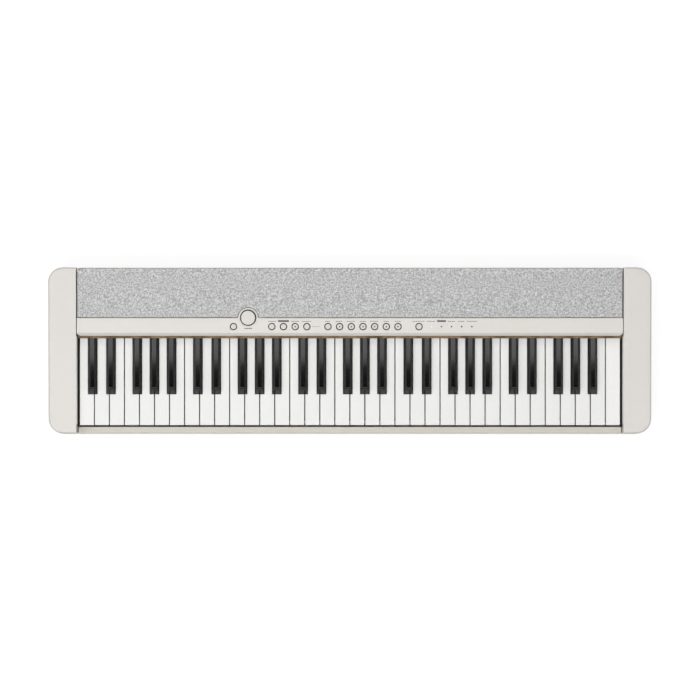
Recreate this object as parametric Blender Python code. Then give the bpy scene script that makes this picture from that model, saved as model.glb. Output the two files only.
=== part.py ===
# Portable keyboard with 61 keys, as separate pieces.
# Metres, +Z up, the player's side towards -Y, the origin on the table under the middle.

import math

import bmesh
import bpy
from mathutils import Matrix, Vector

# General clearances
SEAT_GAP = 0.0003
CUT_PAST = 0.001

# Key field
OCTAVES = 5
WHITES_IN_OCTAVE = 7
KEY_PITCH = 0.02325
KEY_GAP = 0.0010
FIELD_END_GAP = 0.0027
BLACK_CENTRES = (0.89, 2.11, 3.86, 5.0, 6.14)
KEY_DIP_DEGREES = 2.75

# Case
END_BLOCK_WIDTH = 0.0438
CONSOLE_REACH = 0.1054
CASE_CORNER_RADIUS = 0.0225
CASE_WALL = 0.0025
LOWER_CASE_HEIGHT = 0.039
LOWER_CASE_UNDERCUT = 0.006
UPPER_SLOPE_DEGREES = 1.75
TOP_EDGE_RADIUS = 0.0025
LOWER_EDGE_CURVE = ((0.30, 0.06), (0.10, 0.32))
BLOCK_INNER_CORNER = 0.0012
BOSS_RADIUS = 0.0035
BOSS_SIDES = 6
COLUMN_RADIUS = 0.0050
COLUMN_SIDES = 6
COLUMN_WALL_GAP = 0.003
COLUMN_END_GAP = 0.010
BLOCK_COLUMN_INSET = 0.012
SCREW_RECESS_RADIUS = 0.0034
SCREW_RECESS_DEPTH = 0.0200

# Feet
FOOT_RADIUS = 0.010
FOOT_HEIGHT = 0.0047
FOOT_NECK_RADIUS = 0.0030
FOOT_HEAD_RADIUS = 0.0042
FOOT_HEAD_HEIGHT = 0.0022
FOOT_TIP_RADIUS = 0.0018
FOOT_TAPER = 0.0006
FOOT_SIDES = 10
FOOT_INSET_X = 0.085
FOOT_INSET_Y = 0.034

# White keys
WHITE_KEY_HEIGHT = 0.0175
WHITE_TOP_ABOVE_SEAM = 0.0215
WHITE_KEY_SHOWN = 0.1335
KEY_WALL = 0.0016
KEY_TOP_THICKNESS = 0.0021
KEY_EDGE = 0.0008

# Black keys
BLACK_BASE_WIDTH = 0.0137
BLACK_TOP_WIDTH = 0.0080
BLACK_RISE = 0.0115
BLACK_SHOWN = 0.0849
BLACK_FRONT_RUN = 0.0088
BLACK_SKIRT = 0.0135
BLACK_SIDE_GAP = 0.0010
BLACK_FRONT_GAP = 0.0015
BLACK_CREST = 0.0011
BLACK_HOLLOW_MARGIN = 0.0006
BLACK_STEP_PAST_LIP = 0.001
BLACK_STEP_LEAN = 0.0015
BLACK_STEP_RISE = 0.0005
BLACK_TAIL_RISE = 0.001

# Hinge rails of the key combs
RAIL_THICKNESS = 0.0035
RAIL_DEPTH = 0.0048
RAIL_GAP = 0.0005
TOOTH_LENGTH = 0.0062
TOOTH_WIDTH = 0.0070
TOOTH_THICKNESS = 0.0014
KEY_TAIL_UNDER_PANEL = 0.0275

# Key frame
FRAME_BOSS_HEIGHT = 0.0122
FRAME_BOSS_ROW = (-1, -0.5, 0, 0.5, 1)
FRAME_BOSS_END_INSET = 0.030
FRAME_BOSS_FRONT_INSET = 0.034
FRAME_BOSS_TAIL_GAP = 0.006
FRAME_POST_ROW = (-0.97, -0.5, 0, 0.5, 0.97)
FRAME_POST_RADIUS = 0.0025
FRAME_FRONT_MARGIN = 0.004
FRAME_PLATE = 0.0025
FRAME_SIDE_GAP = 0.0012
FRAME_SEAT_WALL = 0.0024
GUIDE_DEPTH = 0.0045
WHITE_GUIDE_WIDTH = 0.0060
BLACK_GUIDE_WIDTH = 0.0050
GUIDE_BACK_FROM_FRONT = 0.0100
GUIDE_HEADROOM = 0.0016
DIP_CLEARANCE = 0.0015

# Key contacts under the white keys
CONTACT_BEHIND_MIDDLE = 0.022
CONTACT_BOARD_DEPTH = 0.062
CONTACT_BOARD_THICKNESS = 0.0016
CONTACT_BOARD_DROP = 0.0088
BOARD_RIB = 0.0020
BOARD_RIB_INSET = 0.005
STRIP_WIDTH = 0.016
STRIP_BASE = 0.0010
STRIP_HEIGHT = 0.0058
STRIP_RIDGE_WIDTH = 0.0090
STRIP_TOP_WIDTH = 0.0064
STRIP_END_GAP = 0.001

# Front rail
FRONT_RAIL_DEPTH = 0.0121
FRONT_RAIL_RISE = 0.0080
FRONT_RAIL_RADIUS = 0.0028
FRONT_RAIL_REAR_RADIUS = 0.0010
FRONT_RAIL_INNER_RADIUS = 0.0006
FRONT_RAIL_SHORT_LEG = 0.001
KEY_FRONT_GAP = 0.0024

# Control panel and speaker deck
PANEL_DEPTH = 0.0282
PANEL_THICKNESS = 0.0040
LIP_CHAMFER_RUN = 0.0043
LIP_CHAMFER_DROP = 0.0019
CONSOLE_CORNER_RADIUS = 0.0060
DECK_DROP = 0.0090
REAR_RIM = 0.0013
REAR_EDGE = 0.0006
FELT_THICKNESS = 0.0012
FELT_SHOWN = 0.0046
FELT_BOARD_GAP = 0.0007
FELT_END_INSET = 0.0018
BLACK_TOP_CLEARANCE = 0.0005

# Buttons
BUTTON_ROW = 0.01415
BUTTON_PITCH = 0.0180
BUTTON_RADIUS = 0.0048
BUTTON_HOLE_GAP = 0.00095
BUTTON_RISE = 0.0008
BUTTON_FLANGE = 0.0009
BUTTON_FLANGE_THICKNESS = 0.0011
BUTTON_STEM_RADIUS = 0.0018
BUTTON_STEM_LENGTH = 0.0040
BUTTON_TRAVEL = 0.0010
BUTTON_SIDES = 10
POWER_BUTTON_X = -0.1794
MODE_BUTTON_X = -0.1203
MODE_BUTTONS = 4
TONE_BUTTON_X = -0.0338
TONE_BUTTONS = 7
LAST_BUTTON_X = 0.1066

# Indicator windows
INDICATORS = 5
INDICATOR_X = 0.1256
INDICATOR_PITCH = 0.0156
INDICATOR_RADIUS = 0.0014
INDICATOR_SIDES = 6
PIPE_WIDTH = 0.0040
PIPE_THICKNESS = 0.0024

# Volume knob
KNOB_X = -0.1568
KNOB_BACK = 0.0278
KNOB_RADIUS = 0.01125
KNOB_RISE = 0.0071
KNOB_SKIRT = 0.0050
KNOB_WALL = 0.0016
KNOB_HUB_RADIUS = 0.0044
KNOB_HOLE_GAP = 0.0014
KNOB_COLLAR_RADIUS = 0.0154
KNOB_COLLAR_FILLET = 0.0020
COLLAR_SINK = 0.00005
COLLAR_OVERLAP = 0.002
SHARPEST_FILLET = 0.0002
KNOB_SIDES = 20
KNOB_TOP_THICKNESS = 0.0022
KNOB_EDGE = 0.0008
KNOB_POCKET_GAP = 0.0008
SHAFT_HOLE_GAP = 0.0006
POT_SHAFT_RADIUS = 0.0029
POT_SHAFT_SIDES = 12
POT_WIDTH = 0.0130
POT_DEPTH = 0.0110
POT_HEIGHT = 0.0055

# Panel board
PANEL_BOARD_THICKNESS = 0.0016
PANEL_BOARD_DEPTH = 0.0160
PANEL_BOARD_FRONT = 0.0035
PANEL_BOARD_PAST_BUTTON = 0.014
PANEL_BOARD_PAST_LIGHT = 0.010
STANDOFF_RADIUS = 0.0018
STANDOFF_INSET = 0.004
SWITCH_HEIGHT = 0.0030
SWITCH_WIDTH = 0.0060

# Grille and cloth
CLOTH_THICKNESS = 0.0010
CLOTH_GAP = 0.0008
CLOTH_EDGE_RADIUS = 0.0030
CLOTH_CORNER_RADIUS = 0.0050
GRILLE_THICKNESS = 0.0022
GRILLE_BAR = 0.0046
GRILLE_SLOTS = 5
GRILLE_SLOT_SIDE_GAP = 0.0038
GRILLE_SLOT_END_GAP = 0.003
GRILLE_LEG = 0.003
GRILLE_LEG_X = 0.235
GRILLE_LEG_FRONT_INSET = 0.022
GRILLE_LEG_REAR_INSET = 0.012

# Speakers
SPEAKER_X = 0.320
SPEAKER_WIDTH = 0.130
SPEAKER_FRONT_GAP = 0.0083
SPEAKER_REAR_GAP = 0.00695
SPEAKER_FLANGE = 0.0080
SPEAKER_FLANGE_THICKNESS = 0.0022
SPEAKER_BASKET_HEIGHT = 0.018
SPEAKER_BASKET_WALL = 0.0016
SPEAKER_BASKET_NECK = 0.003
SPEAKER_STEPS = 2
ROUND_FLAT = 0.0002
SPEAKER_MAGNET_RADIUS = 0.022
SPEAKER_MAGNET_HEIGHT = 0.011
CONE_THICKNESS = 0.0009
CONE_ROLL = 0.0065
CONE_DEPTH = 0.0112
DUST_CAP_RADIUS = 0.010
DUST_CAP_RISE = 0.0035

# Battery bay, for three rows of two AA cells
BATTERY_BAY_X = 0.062
BATTERY_BAY_WIDTH = 0.112
BATTERY_BAY_HEIGHT = 0.017
BATTERY_ROWS = 3
BATTERY_BAY_FRONT_GAP = 0.0021
BATTERY_BAY_REAR_INSET = 0.0125
BAY_WALL = 0.0018
COVER_THICKNESS = 0.0022
COVER_LEDGE = 0.0022
COVER_TONGUE_LENGTH = 0.0025
COVER_TONGUE_WIDTH = 0.0120
COVER_TONGUE_THICKNESS = 0.0012
COVER_TONGUE_INSET = 0.022
COVER_TONGUE_ROOT = 0.006
TONGUE_LEDGE = 0.0042
CONTACT_THICKNESS = 0.0006
CONTACT_BULGE = 0.0024
CONTACT_FLAT = 0.0026
CONTACT_RISE_LENGTH = 0.0035
CONTACT_END_GAP = 0.001
CONTACT_LOW = 0.005
CONTACT_HIGH = 0.013

# Main board and rear sockets
MAIN_BOARD_X = -0.245
MAIN_BOARD_WIDTH = 0.175
MAIN_BOARD_DEPTH = 0.040
MAIN_BOARD_THICKNESS = 0.0016
MAIN_BOARD_REAR_INSET = 0.0145
MAIN_BOARD_BOSS = 0.0182
MAIN_BOARD_BOSS_INSET = 0.006
SOUND_CHIP = (0.066, 0.004, 0.018, 0.012, 0.0018)
AMPLIFIER_CHIP = (0.020, 0.005, 0.011, 0.006, 0.0020)
CAPACITOR_PLACE = (0.120, 0.009)
CAPACITOR_RADIUS = 0.0045
CAPACITOR_HEIGHT = 0.011
REAR_HOLE_REACH = 0.006
SOCKET_WALL_GAP = 0.0010
SOCKET_SIDES = 12
JACK_COLLAR_REACH = 0.0010
JACK_COLLAR_RADIUS = 0.0066
JACK_NOSE_RADIUS = 0.0052
JACK_BORE_RADIUS = 0.0033
JACK_BORE_DEPTH = 0.021
JACK_COLLAR_TAPER = 0.0002
JACK_BODY = 0.0112
JACK_BODY_LENGTH = 0.020
PEDAL_JACK_X = -0.2286
HEADPHONE_JACK_INSET = 0.0239
USB_X = -0.1330
USB_WIDTH = 0.0120
USB_HEIGHT = 0.0108
USB_LENGTH = 0.0160
USB_SHELL = 0.0008
USB_BACK = 0.0040
USB_TONGUE_WIDTH = 0.0056
USB_TONGUE_THICKNESS = 0.0030
USB_TONGUE_SET_BACK = 0.0020
DC_INLET_X = -0.1850
DC_BODY_LENGTH = 0.011
DC_NOSE_RADIUS = 0.0046
DC_BORE_RADIUS = 0.0031
DC_BORE_DEPTH = 0.0115
DC_PIN_RADIUS = 0.0010
DC_PIN_SET_BACK = 0.0015

# Values that follow from the dimensions above
white_count = WHITES_IN_OCTAVE * OCTAVES + 1
field_half = white_count * KEY_PITCH / 2
console_half = field_half + FIELD_END_GAP
case_half = console_half + END_BLOCK_WIDTH
case_depth = FRONT_RAIL_DEPTH + KEY_FRONT_GAP + WHITE_KEY_SHOWN + FELT_SHOWN + CONSOLE_REACH
front_y = -(case_depth + JACK_COLLAR_REACH) / 2
rear_y = front_y + case_depth
key_front_y = front_y + FRONT_RAIL_DEPTH + KEY_FRONT_GAP
lip_y = key_front_y + WHITE_KEY_SHOWN + FELT_SHOWN
key_tail_y = lip_y - FELT_SHOWN + KEY_TAIL_UNDER_PANEL
rail_front_y = key_tail_y + TOOTH_LENGTH
hinge_y = rail_front_y + RAIL_DEPTH / 2
rail_rear_y = rail_front_y + RAIL_DEPTH
black_front_y = key_front_y + WHITE_KEY_SHOWN - BLACK_SHOWN

floor_z = FOOT_HEIGHT + SEAT_GAP
inner_floor_z = floor_z + CASE_WALL
seam_z = floor_z + LOWER_CASE_HEIGHT
white_top_z = seam_z + WHITE_TOP_ABOVE_SEAM
white_bottom_z = white_top_z - WHITE_KEY_HEIGHT
black_top_z = white_top_z + BLACK_RISE
felt_top = -PANEL_THICKNESS - SEAT_GAP
felt_held = PANEL_BOARD_FRONT - FELT_BOARD_GAP
lip_z = black_top_z + BLACK_TOP_CLEARANCE + FELT_THICKNESS - felt_top
key_dip = math.radians(KEY_DIP_DEGREES)
slope = math.radians(UPPER_SLOPE_DEGREES)
console_place = Matrix.Translation((0, lip_y, lip_z)) @ Matrix.Rotation(slope, 4, "X")
console_depth = CONSOLE_REACH / math.cos(slope)
frame_rear_y = rail_rear_y + RAIL_GAP + FRAME_SEAT_WALL

speaker_depth = console_depth - PANEL_DEPTH - SPEAKER_FRONT_GAP - SPEAKER_REAR_GAP
speaker_back = PANEL_DEPTH + SPEAKER_FRONT_GAP + speaker_depth / 2
mouth_width = SPEAKER_WIDTH - 2 * SPEAKER_FLANGE
mouth_depth = speaker_depth - 2 * SPEAKER_FLANGE
slotted_depth = mouth_depth - 2 * GRILLE_SLOT_SIDE_GAP
grille_slot = (slotted_depth - (GRILLE_SLOTS - 1) * GRILLE_BAR) / GRILLE_SLOTS

headphone_jack_x = MAIN_BOARD_X + MAIN_BOARD_WIDTH - HEADPHONE_JACK_INSET

rail_step = RAIL_THICKNESS + RAIL_GAP
low_rail_z = white_bottom_z + RAIL_THICKNESS + RAIL_GAP / 2
middle_rail_z = low_rail_z + rail_step
high_rail_z = middle_rail_z + rail_step


# Mesh tools

def clear_scene():
    for item in list(bpy.data.objects):
        bpy.data.objects.remove(item, do_unlink=True)


def finished(name, form):
    bmesh.ops.recalc_face_normals(form, faces=form.faces)
    mesh = bpy.data.meshes.new(name)
    form.to_mesh(mesh)
    form.free()
    piece = bpy.data.objects.new(name, mesh)
    bpy.context.scene.collection.objects.link(piece)
    return piece


def add_loft(form, rings, closed=False):
    """Skins rings of equally many points. An open loft gets a cap at each end."""
    loops = [[form.verts.new(point) for point in ring] for ring in rings]
    pairs = list(zip(loops, loops[1:]))
    if closed:
        pairs.append((loops[-1], loops[0]))
    count = len(loops[0])
    for lower, upper in pairs:
        for index in range(count):
            after = (index + 1) % count
            form.faces.new((lower[index], lower[after], upper[after], upper[index]))
    if not closed:
        form.faces.new(list(reversed(loops[0])))
        form.faces.new(loops[-1])


def add_prism(form, outline, axis, start, end):
    """Extrudes an outline of the two other coordinates from start to end along an axis."""
    def point(first, second, along):
        if axis == "X":
            return (along, first, second)
        if axis == "Y":
            return (first, along, second)
        return (first, second, along)

    add_loft(form, [[point(*corner, along) for corner in outline] for along in (start, end)])


def add_box(form, low, high):
    outline = [(low[0], low[1]), (high[0], low[1]), (high[0], high[1]), (low[0], high[1])]
    add_prism(form, outline, "Z", low[2], high[2])


def add_turned(form, profile, sides, place, closed=False):
    """Turns (radius, height) points round the local Z of a placing matrix."""
    rings = []
    for radius, height in profile:
        ring = []
        for side in range(sides):
            angle = 2 * math.pi * side / sides
            ring.append(place @ Vector((radius * math.cos(angle), radius * math.sin(angle), height)))
        rings.append(ring)
    add_loft(form, rings, closed)


def prism(name, outline, axis, start, end):
    form = bmesh.new()
    add_prism(form, outline, axis, start, end)
    return finished(name, form)


def box(name, low, high):
    form = bmesh.new()
    add_box(form, low, high)
    return finished(name, form)


def loft(name, rings):
    form = bmesh.new()
    add_loft(form, rings)
    return finished(name, form)


def turned(name, profile, sides, place, closed=False):
    form = bmesh.new()
    add_turned(form, profile, sides, place, closed)
    return finished(name, form)


def combine(target, operation, tools):
    """Applies Boolean cuts or unions to a piece and removes the tool objects."""
    for tool in tools:
        modifier = target.modifiers.new(operation.lower(), "BOOLEAN")
        modifier.solver = "EXACT"
        modifier.operation = operation
        modifier.object = tool
    view = bpy.context.evaluated_depsgraph_get()
    result = bpy.data.meshes.new_from_object(target.evaluated_get(view))
    target.modifiers.clear()
    target.data = result
    for tool in tools:
        bpy.data.objects.remove(tool, do_unlink=True)
    return target


def unite(target, *tools):
    return combine(target, "UNION", tools)


def cut(target, *tools):
    return combine(target, "DIFFERENCE", tools)


def set_origin(piece, point):
    """Puts the object's origin on a point, such as its joint's axis, and leaves the mesh in place."""
    piece.data.transform(Matrix.Translation(-Vector(point)))
    piece.location = point
    return piece


def round_shading(piece, degrees=32):
    piece.data.shade_smooth()
    piece.data.set_sharp_from_angle(angle=math.radians(degrees))
    return piece


# Outlines

def inset(outline, distance):
    """Moves every side of a counter-clockwise outline inwards by the same distance."""
    result = []
    count = len(outline)
    for index, corner in enumerate(outline):
        here = Vector(corner)
        arriving = (here - Vector(outline[index - 1])).normalized()
        leaving = (Vector(outline[(index + 1) % count]) - here).normalized()
        arriving_normal = Vector((-arriving.y, arriving.x))
        leaving_normal = Vector((-leaving.y, leaving.x))
        between = (arriving_normal + leaving_normal).normalized()
        result.append(here + between * (distance / between.dot(arriving_normal)))
    return [(point.x, point.y) for point in result]


def rounded(corners, steps=4):
    """Turns (x, y, radius) corners into an outline whose corners are arcs."""
    result = []
    count = len(corners)
    for index, (x, y, radius) in enumerate(corners):
        here = Vector((x, y))
        if radius <= 0:
            result.append((x, y))
            continue
        back = (Vector(corners[index - 1][:2]) - here).normalized()
        ahead = (Vector(corners[(index + 1) % count][:2]) - here).normalized()
        half_angle = back.angle(ahead) / 2
        centre = here + (back + ahead).normalized() * (radius / math.sin(half_angle))
        start = here + back * (radius / math.tan(half_angle)) - centre
        sweep = start.angle_signed(here + ahead * (radius / math.tan(half_angle)) - centre)
        for step in range(steps + 1):
            spoke = start.copy()
            spoke.rotate(Matrix.Rotation(-sweep * step / steps, 2))
            result.append(tuple(centre + spoke))
    return result


def rectangle(left, right, near, far, radius=0.0, steps=4):
    corners = [(left, near, radius), (right, near, radius), (right, far, radius), (left, far, radius)]
    return rounded(corners, steps)


def stadium(width, depth, steps=4):
    """An oval with straight long sides, centred on the origin."""
    return rectangle(-width / 2, width / 2, -depth / 2, depth / 2, depth / 2 - 0.00001, steps)


def level(outline, height):
    return [(x, y, height) for x, y in outline]


def on_console(outline, height):
    """Lays an outline of panel coordinates at a height above the sloping console top."""
    return [console_place @ Vector((x, back, height)) for x, back in outline]


def console_section(back, height):
    """The world y and z of a point given in panel coordinates."""
    point = console_place @ Vector((0, back, height))
    return (point.y, point.z)


def console_axis(x, back):
    return console_place @ Matrix.Translation((x, back, 0))


# Materials

def linear(value):
    share = value / 255
    if share <= 0.04045:
        return share / 12.92
    return ((share + 0.055) / 1.055) ** 2.4


def paint(piece, name, colour, roughness, metallic=0.0):
    """Gives a piece its finish. Colours are sRGB bytes."""
    finish = bpy.data.materials.get(name)
    if finish is None:
        finish = bpy.data.materials.new(name)
        finish.use_nodes = True
        shader = finish.node_tree.nodes["Principled BSDF"]
        shader.inputs["Base Color"].default_value = (*[linear(value) for value in colour], 1)
        shader.inputs["Roughness"].default_value = roughness
        shader.inputs["Metallic"].default_value = metallic
    piece.data.materials.clear()
    piece.data.materials.append(finish)
    return piece


def cream_plastic(piece):
    return paint(piece, "cream_plastic", (228, 223, 218), 0.45)


def white_key_plastic(piece):
    return paint(piece, "white_key_plastic", (240, 240, 238), 0.25)


def black_key_plastic(piece):
    return paint(piece, "black_key_plastic", (14, 14, 16), 0.3)


def grey_frame_plastic(piece):
    return paint(piece, "grey_frame_plastic", (96, 98, 102), 0.6)


def circuit_board(piece):
    return paint(piece, "circuit_board", (34, 84, 52), 0.5)


def black_plastic(piece):
    return paint(piece, "black_plastic", (24, 24, 26), 0.5)


def rubber(piece):
    return paint(piece, "rubber", (48, 48, 50), 0.85)


def bright_metal(piece):
    return paint(piece, "bright_metal", (196, 196, 192), 0.3, 1.0)


# Case

def case_outline():
    return rectangle(-case_half, case_half, front_y, rear_y, CASE_CORNER_RADIUS)


def boss(name, x, y, low, high, radius=BOSS_RADIUS, sides=BOSS_SIDES):
    place = Matrix.Translation((x, y, 0))
    return turned(name, [(radius, low), (radius, high)], sides, place)


def foot_places():
    for side_x in (-1, 1):
        for side_y in (-1, 1):
            x = side_x * (case_half - FOOT_INSET_X)
            y = side_y * (case_depth / 2 - FOOT_INSET_Y) + (front_y + rear_y) / 2
            yield x, y


def frame_boss_places():
    reach = field_half - FRAME_BOSS_END_INSET
    for y in (front_y + FRAME_BOSS_FRONT_INSET, key_tail_y - FRAME_BOSS_TAIL_GAP):
        for share in FRAME_BOSS_ROW:
            yield share * reach, y


def console_column_places():
    """Columns that carry the upper case, beside and between the speakers."""
    y = rear_y - CASE_WALL - COLUMN_RADIUS - COLUMN_WALL_GAP
    outer = console_half - COLUMN_RADIUS - COLUMN_END_GAP
    beside_speaker = SPEAKER_X - SPEAKER_WIDTH / 2 - COLUMN_WALL_GAP
    for x in (-outer, -beside_speaker, 0, beside_speaker, outer):
        yield x, y


def block_column_places(side):
    """Columns that carry an end block."""
    x = side * (console_half + END_BLOCK_WIDTH / 2)
    inset_y = CASE_CORNER_RADIUS + BLOCK_COLUMN_INSET
    for y in (front_y + inset_y, rear_y - inset_y):
        yield x, y


def column_places():
    yield from console_column_places()
    yield from block_column_places(-1)
    yield from block_column_places(1)


def frame_post_places():
    """Short posts of the upper case that stand on the key frame's flange."""
    y = rail_rear_y
    for share in FRAME_POST_ROW:
        yield share * field_half, y


def main_board_corners():
    far_y = rear_y - MAIN_BOARD_REAR_INSET
    inside = MAIN_BOARD_BOSS_INSET
    for x in (MAIN_BOARD_X + inside, MAIN_BOARD_X + MAIN_BOARD_WIDTH - inside):
        for y in (far_y - MAIN_BOARD_DEPTH + inside, far_y - inside):
            yield x, y


def bay_extent():
    """Left, right, near and far inner faces of the battery bay."""
    near = frame_rear_y + BATTERY_BAY_FRONT_GAP + BAY_WALL
    far = rear_y - BATTERY_BAY_REAR_INSET
    return BATTERY_BAY_X, BATTERY_BAY_X + BATTERY_BAY_WIDTH, near, far


def cover_extent():
    """Left, right, near and far edges of the battery cover."""
    left, right, near, far = bay_extent()
    ledge = COVER_LEDGE - SEAT_GAP
    return left - ledge, right + ledge, near + TONGUE_LEDGE, far + ledge


def jack_axis_z():
    return inner_floor_z + MAIN_BOARD_BOSS + 2 * SEAT_GAP + MAIN_BOARD_THICKNESS + JACK_BODY / 2


def facing_rear(x, z):
    """A placing matrix whose local Z points to the rear, with its origin on the case's rear face."""
    return Matrix.Translation((x, rear_y, z)) @ Matrix.Rotation(-math.pi / 2, 4, "X")


def lower_case():
    outline = case_outline()
    under = LOWER_CASE_UNDERCUT
    outer = [(seam_z, 0.0)]
    for height_share, undercut_share in LOWER_EDGE_CURVE:
        outer.append((floor_z + height_share * LOWER_CASE_HEIGHT, undercut_share * under))
    outer.append((floor_z, under))
    rings = [level(inset(outline, under + CASE_WALL / 2), inner_floor_z)]
    for height, depth in (outer[1], outer[0]):
        rings.append(level(inset(outline, depth + CASE_WALL), height))
    for height, depth in outer:
        rings.append(level(inset(outline, depth), height))
    tray = loft("lower_case", rings)

    left, right, near, far = bay_extent()
    bay_top = inner_floor_z + BATTERY_BAY_HEIGHT
    skirt = COVER_LEDGE + BAY_WALL
    sill = box("sill", (left - skirt, near - BAY_WALL, floor_z + CUT_PAST),
               (right + skirt, far + skirt, inner_floor_z + BAY_WALL))
    walls = box("walls", (left - BAY_WALL, near - BAY_WALL, floor_z + CUT_PAST),
                (right + BAY_WALL, far + BAY_WALL, bay_top + BAY_WALL))
    supports = [boss("frame_boss", x, y, inner_floor_z - CUT_PAST, inner_floor_z + FRAME_BOSS_HEIGHT)
                for x, y in frame_boss_places()]
    supports += [boss("board_boss", x, y, inner_floor_z - CUT_PAST, inner_floor_z + MAIN_BOARD_BOSS)
                 for x, y in main_board_corners()]
    supports += [boss("column", x, y, floor_z + CUT_PAST, seam_z, COLUMN_RADIUS, COLUMN_SIDES)
                 for x, y in column_places()]
    unite(tray, sill, walls, *supports)

    inside = box("inside", (left, near, inner_floor_z), (right, far, bay_top))
    gap = SEAT_GAP
    cover_left, cover_right, cover_near, cover_far = cover_extent()
    opening = box("opening", (cover_left - gap, cover_near - gap, floor_z - CUT_PAST),
                  (cover_right + gap, cover_far + gap, inner_floor_z))
    cuts = [inside, opening]
    for x, y in column_places():
        cuts.append(boss("screw_recess", x, y, floor_z - CUT_PAST, floor_z + SCREW_RECESS_DEPTH,
                         SCREW_RECESS_RADIUS, COLUMN_SIDES))
    for x, y in foot_places():
        cuts.append(boss("foot_hole", x, y, floor_z - CUT_PAST, inner_floor_z + CUT_PAST,
                         FOOT_NECK_RADIUS + SEAT_GAP, FOOT_SIDES))
    axis_z = jack_axis_z()
    sockets = ((PEDAL_JACK_X, JACK_NOSE_RADIUS), (headphone_jack_x, JACK_NOSE_RADIUS),
               (DC_INLET_X, DC_NOSE_RADIUS))
    for x, nose_radius in sockets:
        hole = [(nose_radius + gap, -REAR_HOLE_REACH), (nose_radius + gap, REAR_HOLE_REACH)]
        cuts.append(turned("socket_hole", hole, SOCKET_SIDES, facing_rear(x, axis_z)))
    usb_half = USB_WIDTH / 2 + gap
    usb_low = axis_z - JACK_BODY / 2 - gap
    cuts.append(box("usb_hole", (USB_X - usb_half, rear_y - REAR_HOLE_REACH, usb_low),
                    (USB_X + usb_half, rear_y + REAR_HOLE_REACH, usb_low + USB_HEIGHT + 2 * gap)))
    cut(tray, *cuts)
    return cream_plastic(round_shading(tray))


def end_block(name, side):
    """Plain shell beside the keys. Side is -1 at the left and 1 at the right."""
    inner_x = console_half
    corners = [
        (inner_x, front_y, BLOCK_INNER_CORNER),
        (case_half, front_y, CASE_CORNER_RADIUS),
        (case_half, rear_y, CASE_CORNER_RADIUS),
        (inner_x, rear_y, BLOCK_INNER_CORNER),
    ]
    outline = rounded(corners)

    def on_top(points, drop):
        return [(x, y, lip_z + (y - lip_y) * math.tan(slope) - drop) for x, y in points]

    edge = TOP_EDGE_RADIUS
    wall_outline = inset(outline, CASE_WALL)
    rings = [
        on_top(wall_outline, CASE_WALL + edge * 0.2),
        level(wall_outline, seam_z + SEAT_GAP),
        level(outline, seam_z + SEAT_GAP),
        on_top(outline, edge),
        on_top(inset(outline, edge * 0.3), edge * 0.3),
        on_top(inset(outline, edge), 0.0),
    ]
    if side < 0:
        rings = [[(-x, y, z) for x, y, z in ring] for ring in rings]
    shell = loft(name, rings)
    columns = []
    for x, y in block_column_places(side):
        top = lip_z + (y - lip_y) * math.tan(slope) - CASE_WALL / 2
        columns.append(boss("column", x, y, seam_z + SEAT_GAP, top, BOSS_RADIUS))
    unite(shell, *columns)
    return cream_plastic(round_shading(shell))


def front_rail():
    far = front_y + FRONT_RAIL_DEPTH
    low = seam_z + SEAT_GAP
    top = seam_z + FRONT_RAIL_RISE
    wall = CASE_WALL
    corners = [
        (front_y, low, 0),
        (front_y + wall, low, 0),
        (front_y + wall, top - wall, FRONT_RAIL_INNER_RADIUS),
        (far - wall, top - wall, FRONT_RAIL_INNER_RADIUS),
        (far - wall, low + FRONT_RAIL_SHORT_LEG, 0),
        (far, low + FRONT_RAIL_SHORT_LEG, 0),
        (far, top, FRONT_RAIL_REAR_RADIUS),
        (front_y, top, FRONT_RAIL_RADIUS),
    ]
    outline = rounded(corners, 4)
    reach = console_half - SEAT_GAP
    return cream_plastic(round_shading(prism("front_rail", outline, "X", -reach, reach)))


def foot(name, x, y):
    profile = [
        (FOOT_RADIUS - FOOT_TAPER, 0),
        (FOOT_RADIUS, FOOT_HEIGHT),
        (FOOT_NECK_RADIUS, FOOT_HEIGHT),
        (FOOT_NECK_RADIUS, inner_floor_z + SEAT_GAP),
        (FOOT_HEAD_RADIUS, inner_floor_z + SEAT_GAP),
        (FOOT_TIP_RADIUS, inner_floor_z + SEAT_GAP + FOOT_HEAD_HEIGHT),
    ]
    return rubber(round_shading(turned(name, profile, FOOT_SIDES, Matrix.Translation((x, y, 0)))))


# Console: panel, deck, grille and cloth

def knob_bulge(gap):
    """The part of a console seam that runs round the knob collar, from right to left."""
    line = PANEL_DEPTH + gap
    radius = KNOB_COLLAR_RADIUS + gap
    fillet = max(KNOB_COLLAR_FILLET - gap, SHARPEST_FILLET)
    rise = line + fillet - KNOB_BACK
    reach = math.sqrt((radius + fillet) ** 2 - rise ** 2)
    meeting = math.atan2(rise, reach)
    points = []
    fillet_steps = 3
    for step in range(fillet_steps + 1):
        angle = -math.pi / 2 - (math.pi / 2 - meeting) * step / fillet_steps
        points.append((KNOB_X + reach + fillet * math.cos(angle), line + fillet + fillet * math.sin(angle)))
    mirrored = [(2 * KNOB_X - x, back) for x, back in reversed(points)]
    arc_steps = 10
    for step in range(1, arc_steps):
        angle = meeting + (math.pi - 2 * meeting) * step / arc_steps
        points.append((KNOB_X + radius * math.cos(angle), KNOB_BACK + radius * math.sin(angle)))
    return points + mirrored


def button_list():
    """Node name and x of each push button in the row, from left to right."""
    buttons = [("button_power", POWER_BUTTON_X)]
    for number in range(MODE_BUTTONS):
        buttons.append((f"button_mode_{number + 1}", MODE_BUTTON_X + number * BUTTON_PITCH))
    for number in range(TONE_BUTTONS):
        buttons.append((f"button_tone_{number + 1}", TONE_BUTTON_X + number * BUTTON_PITCH))
    buttons.append(("button_record", LAST_BUTTON_X))
    return buttons


def indicator_places():
    return [INDICATOR_X + number * INDICATOR_PITCH for number in range(INDICATORS)]


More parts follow.
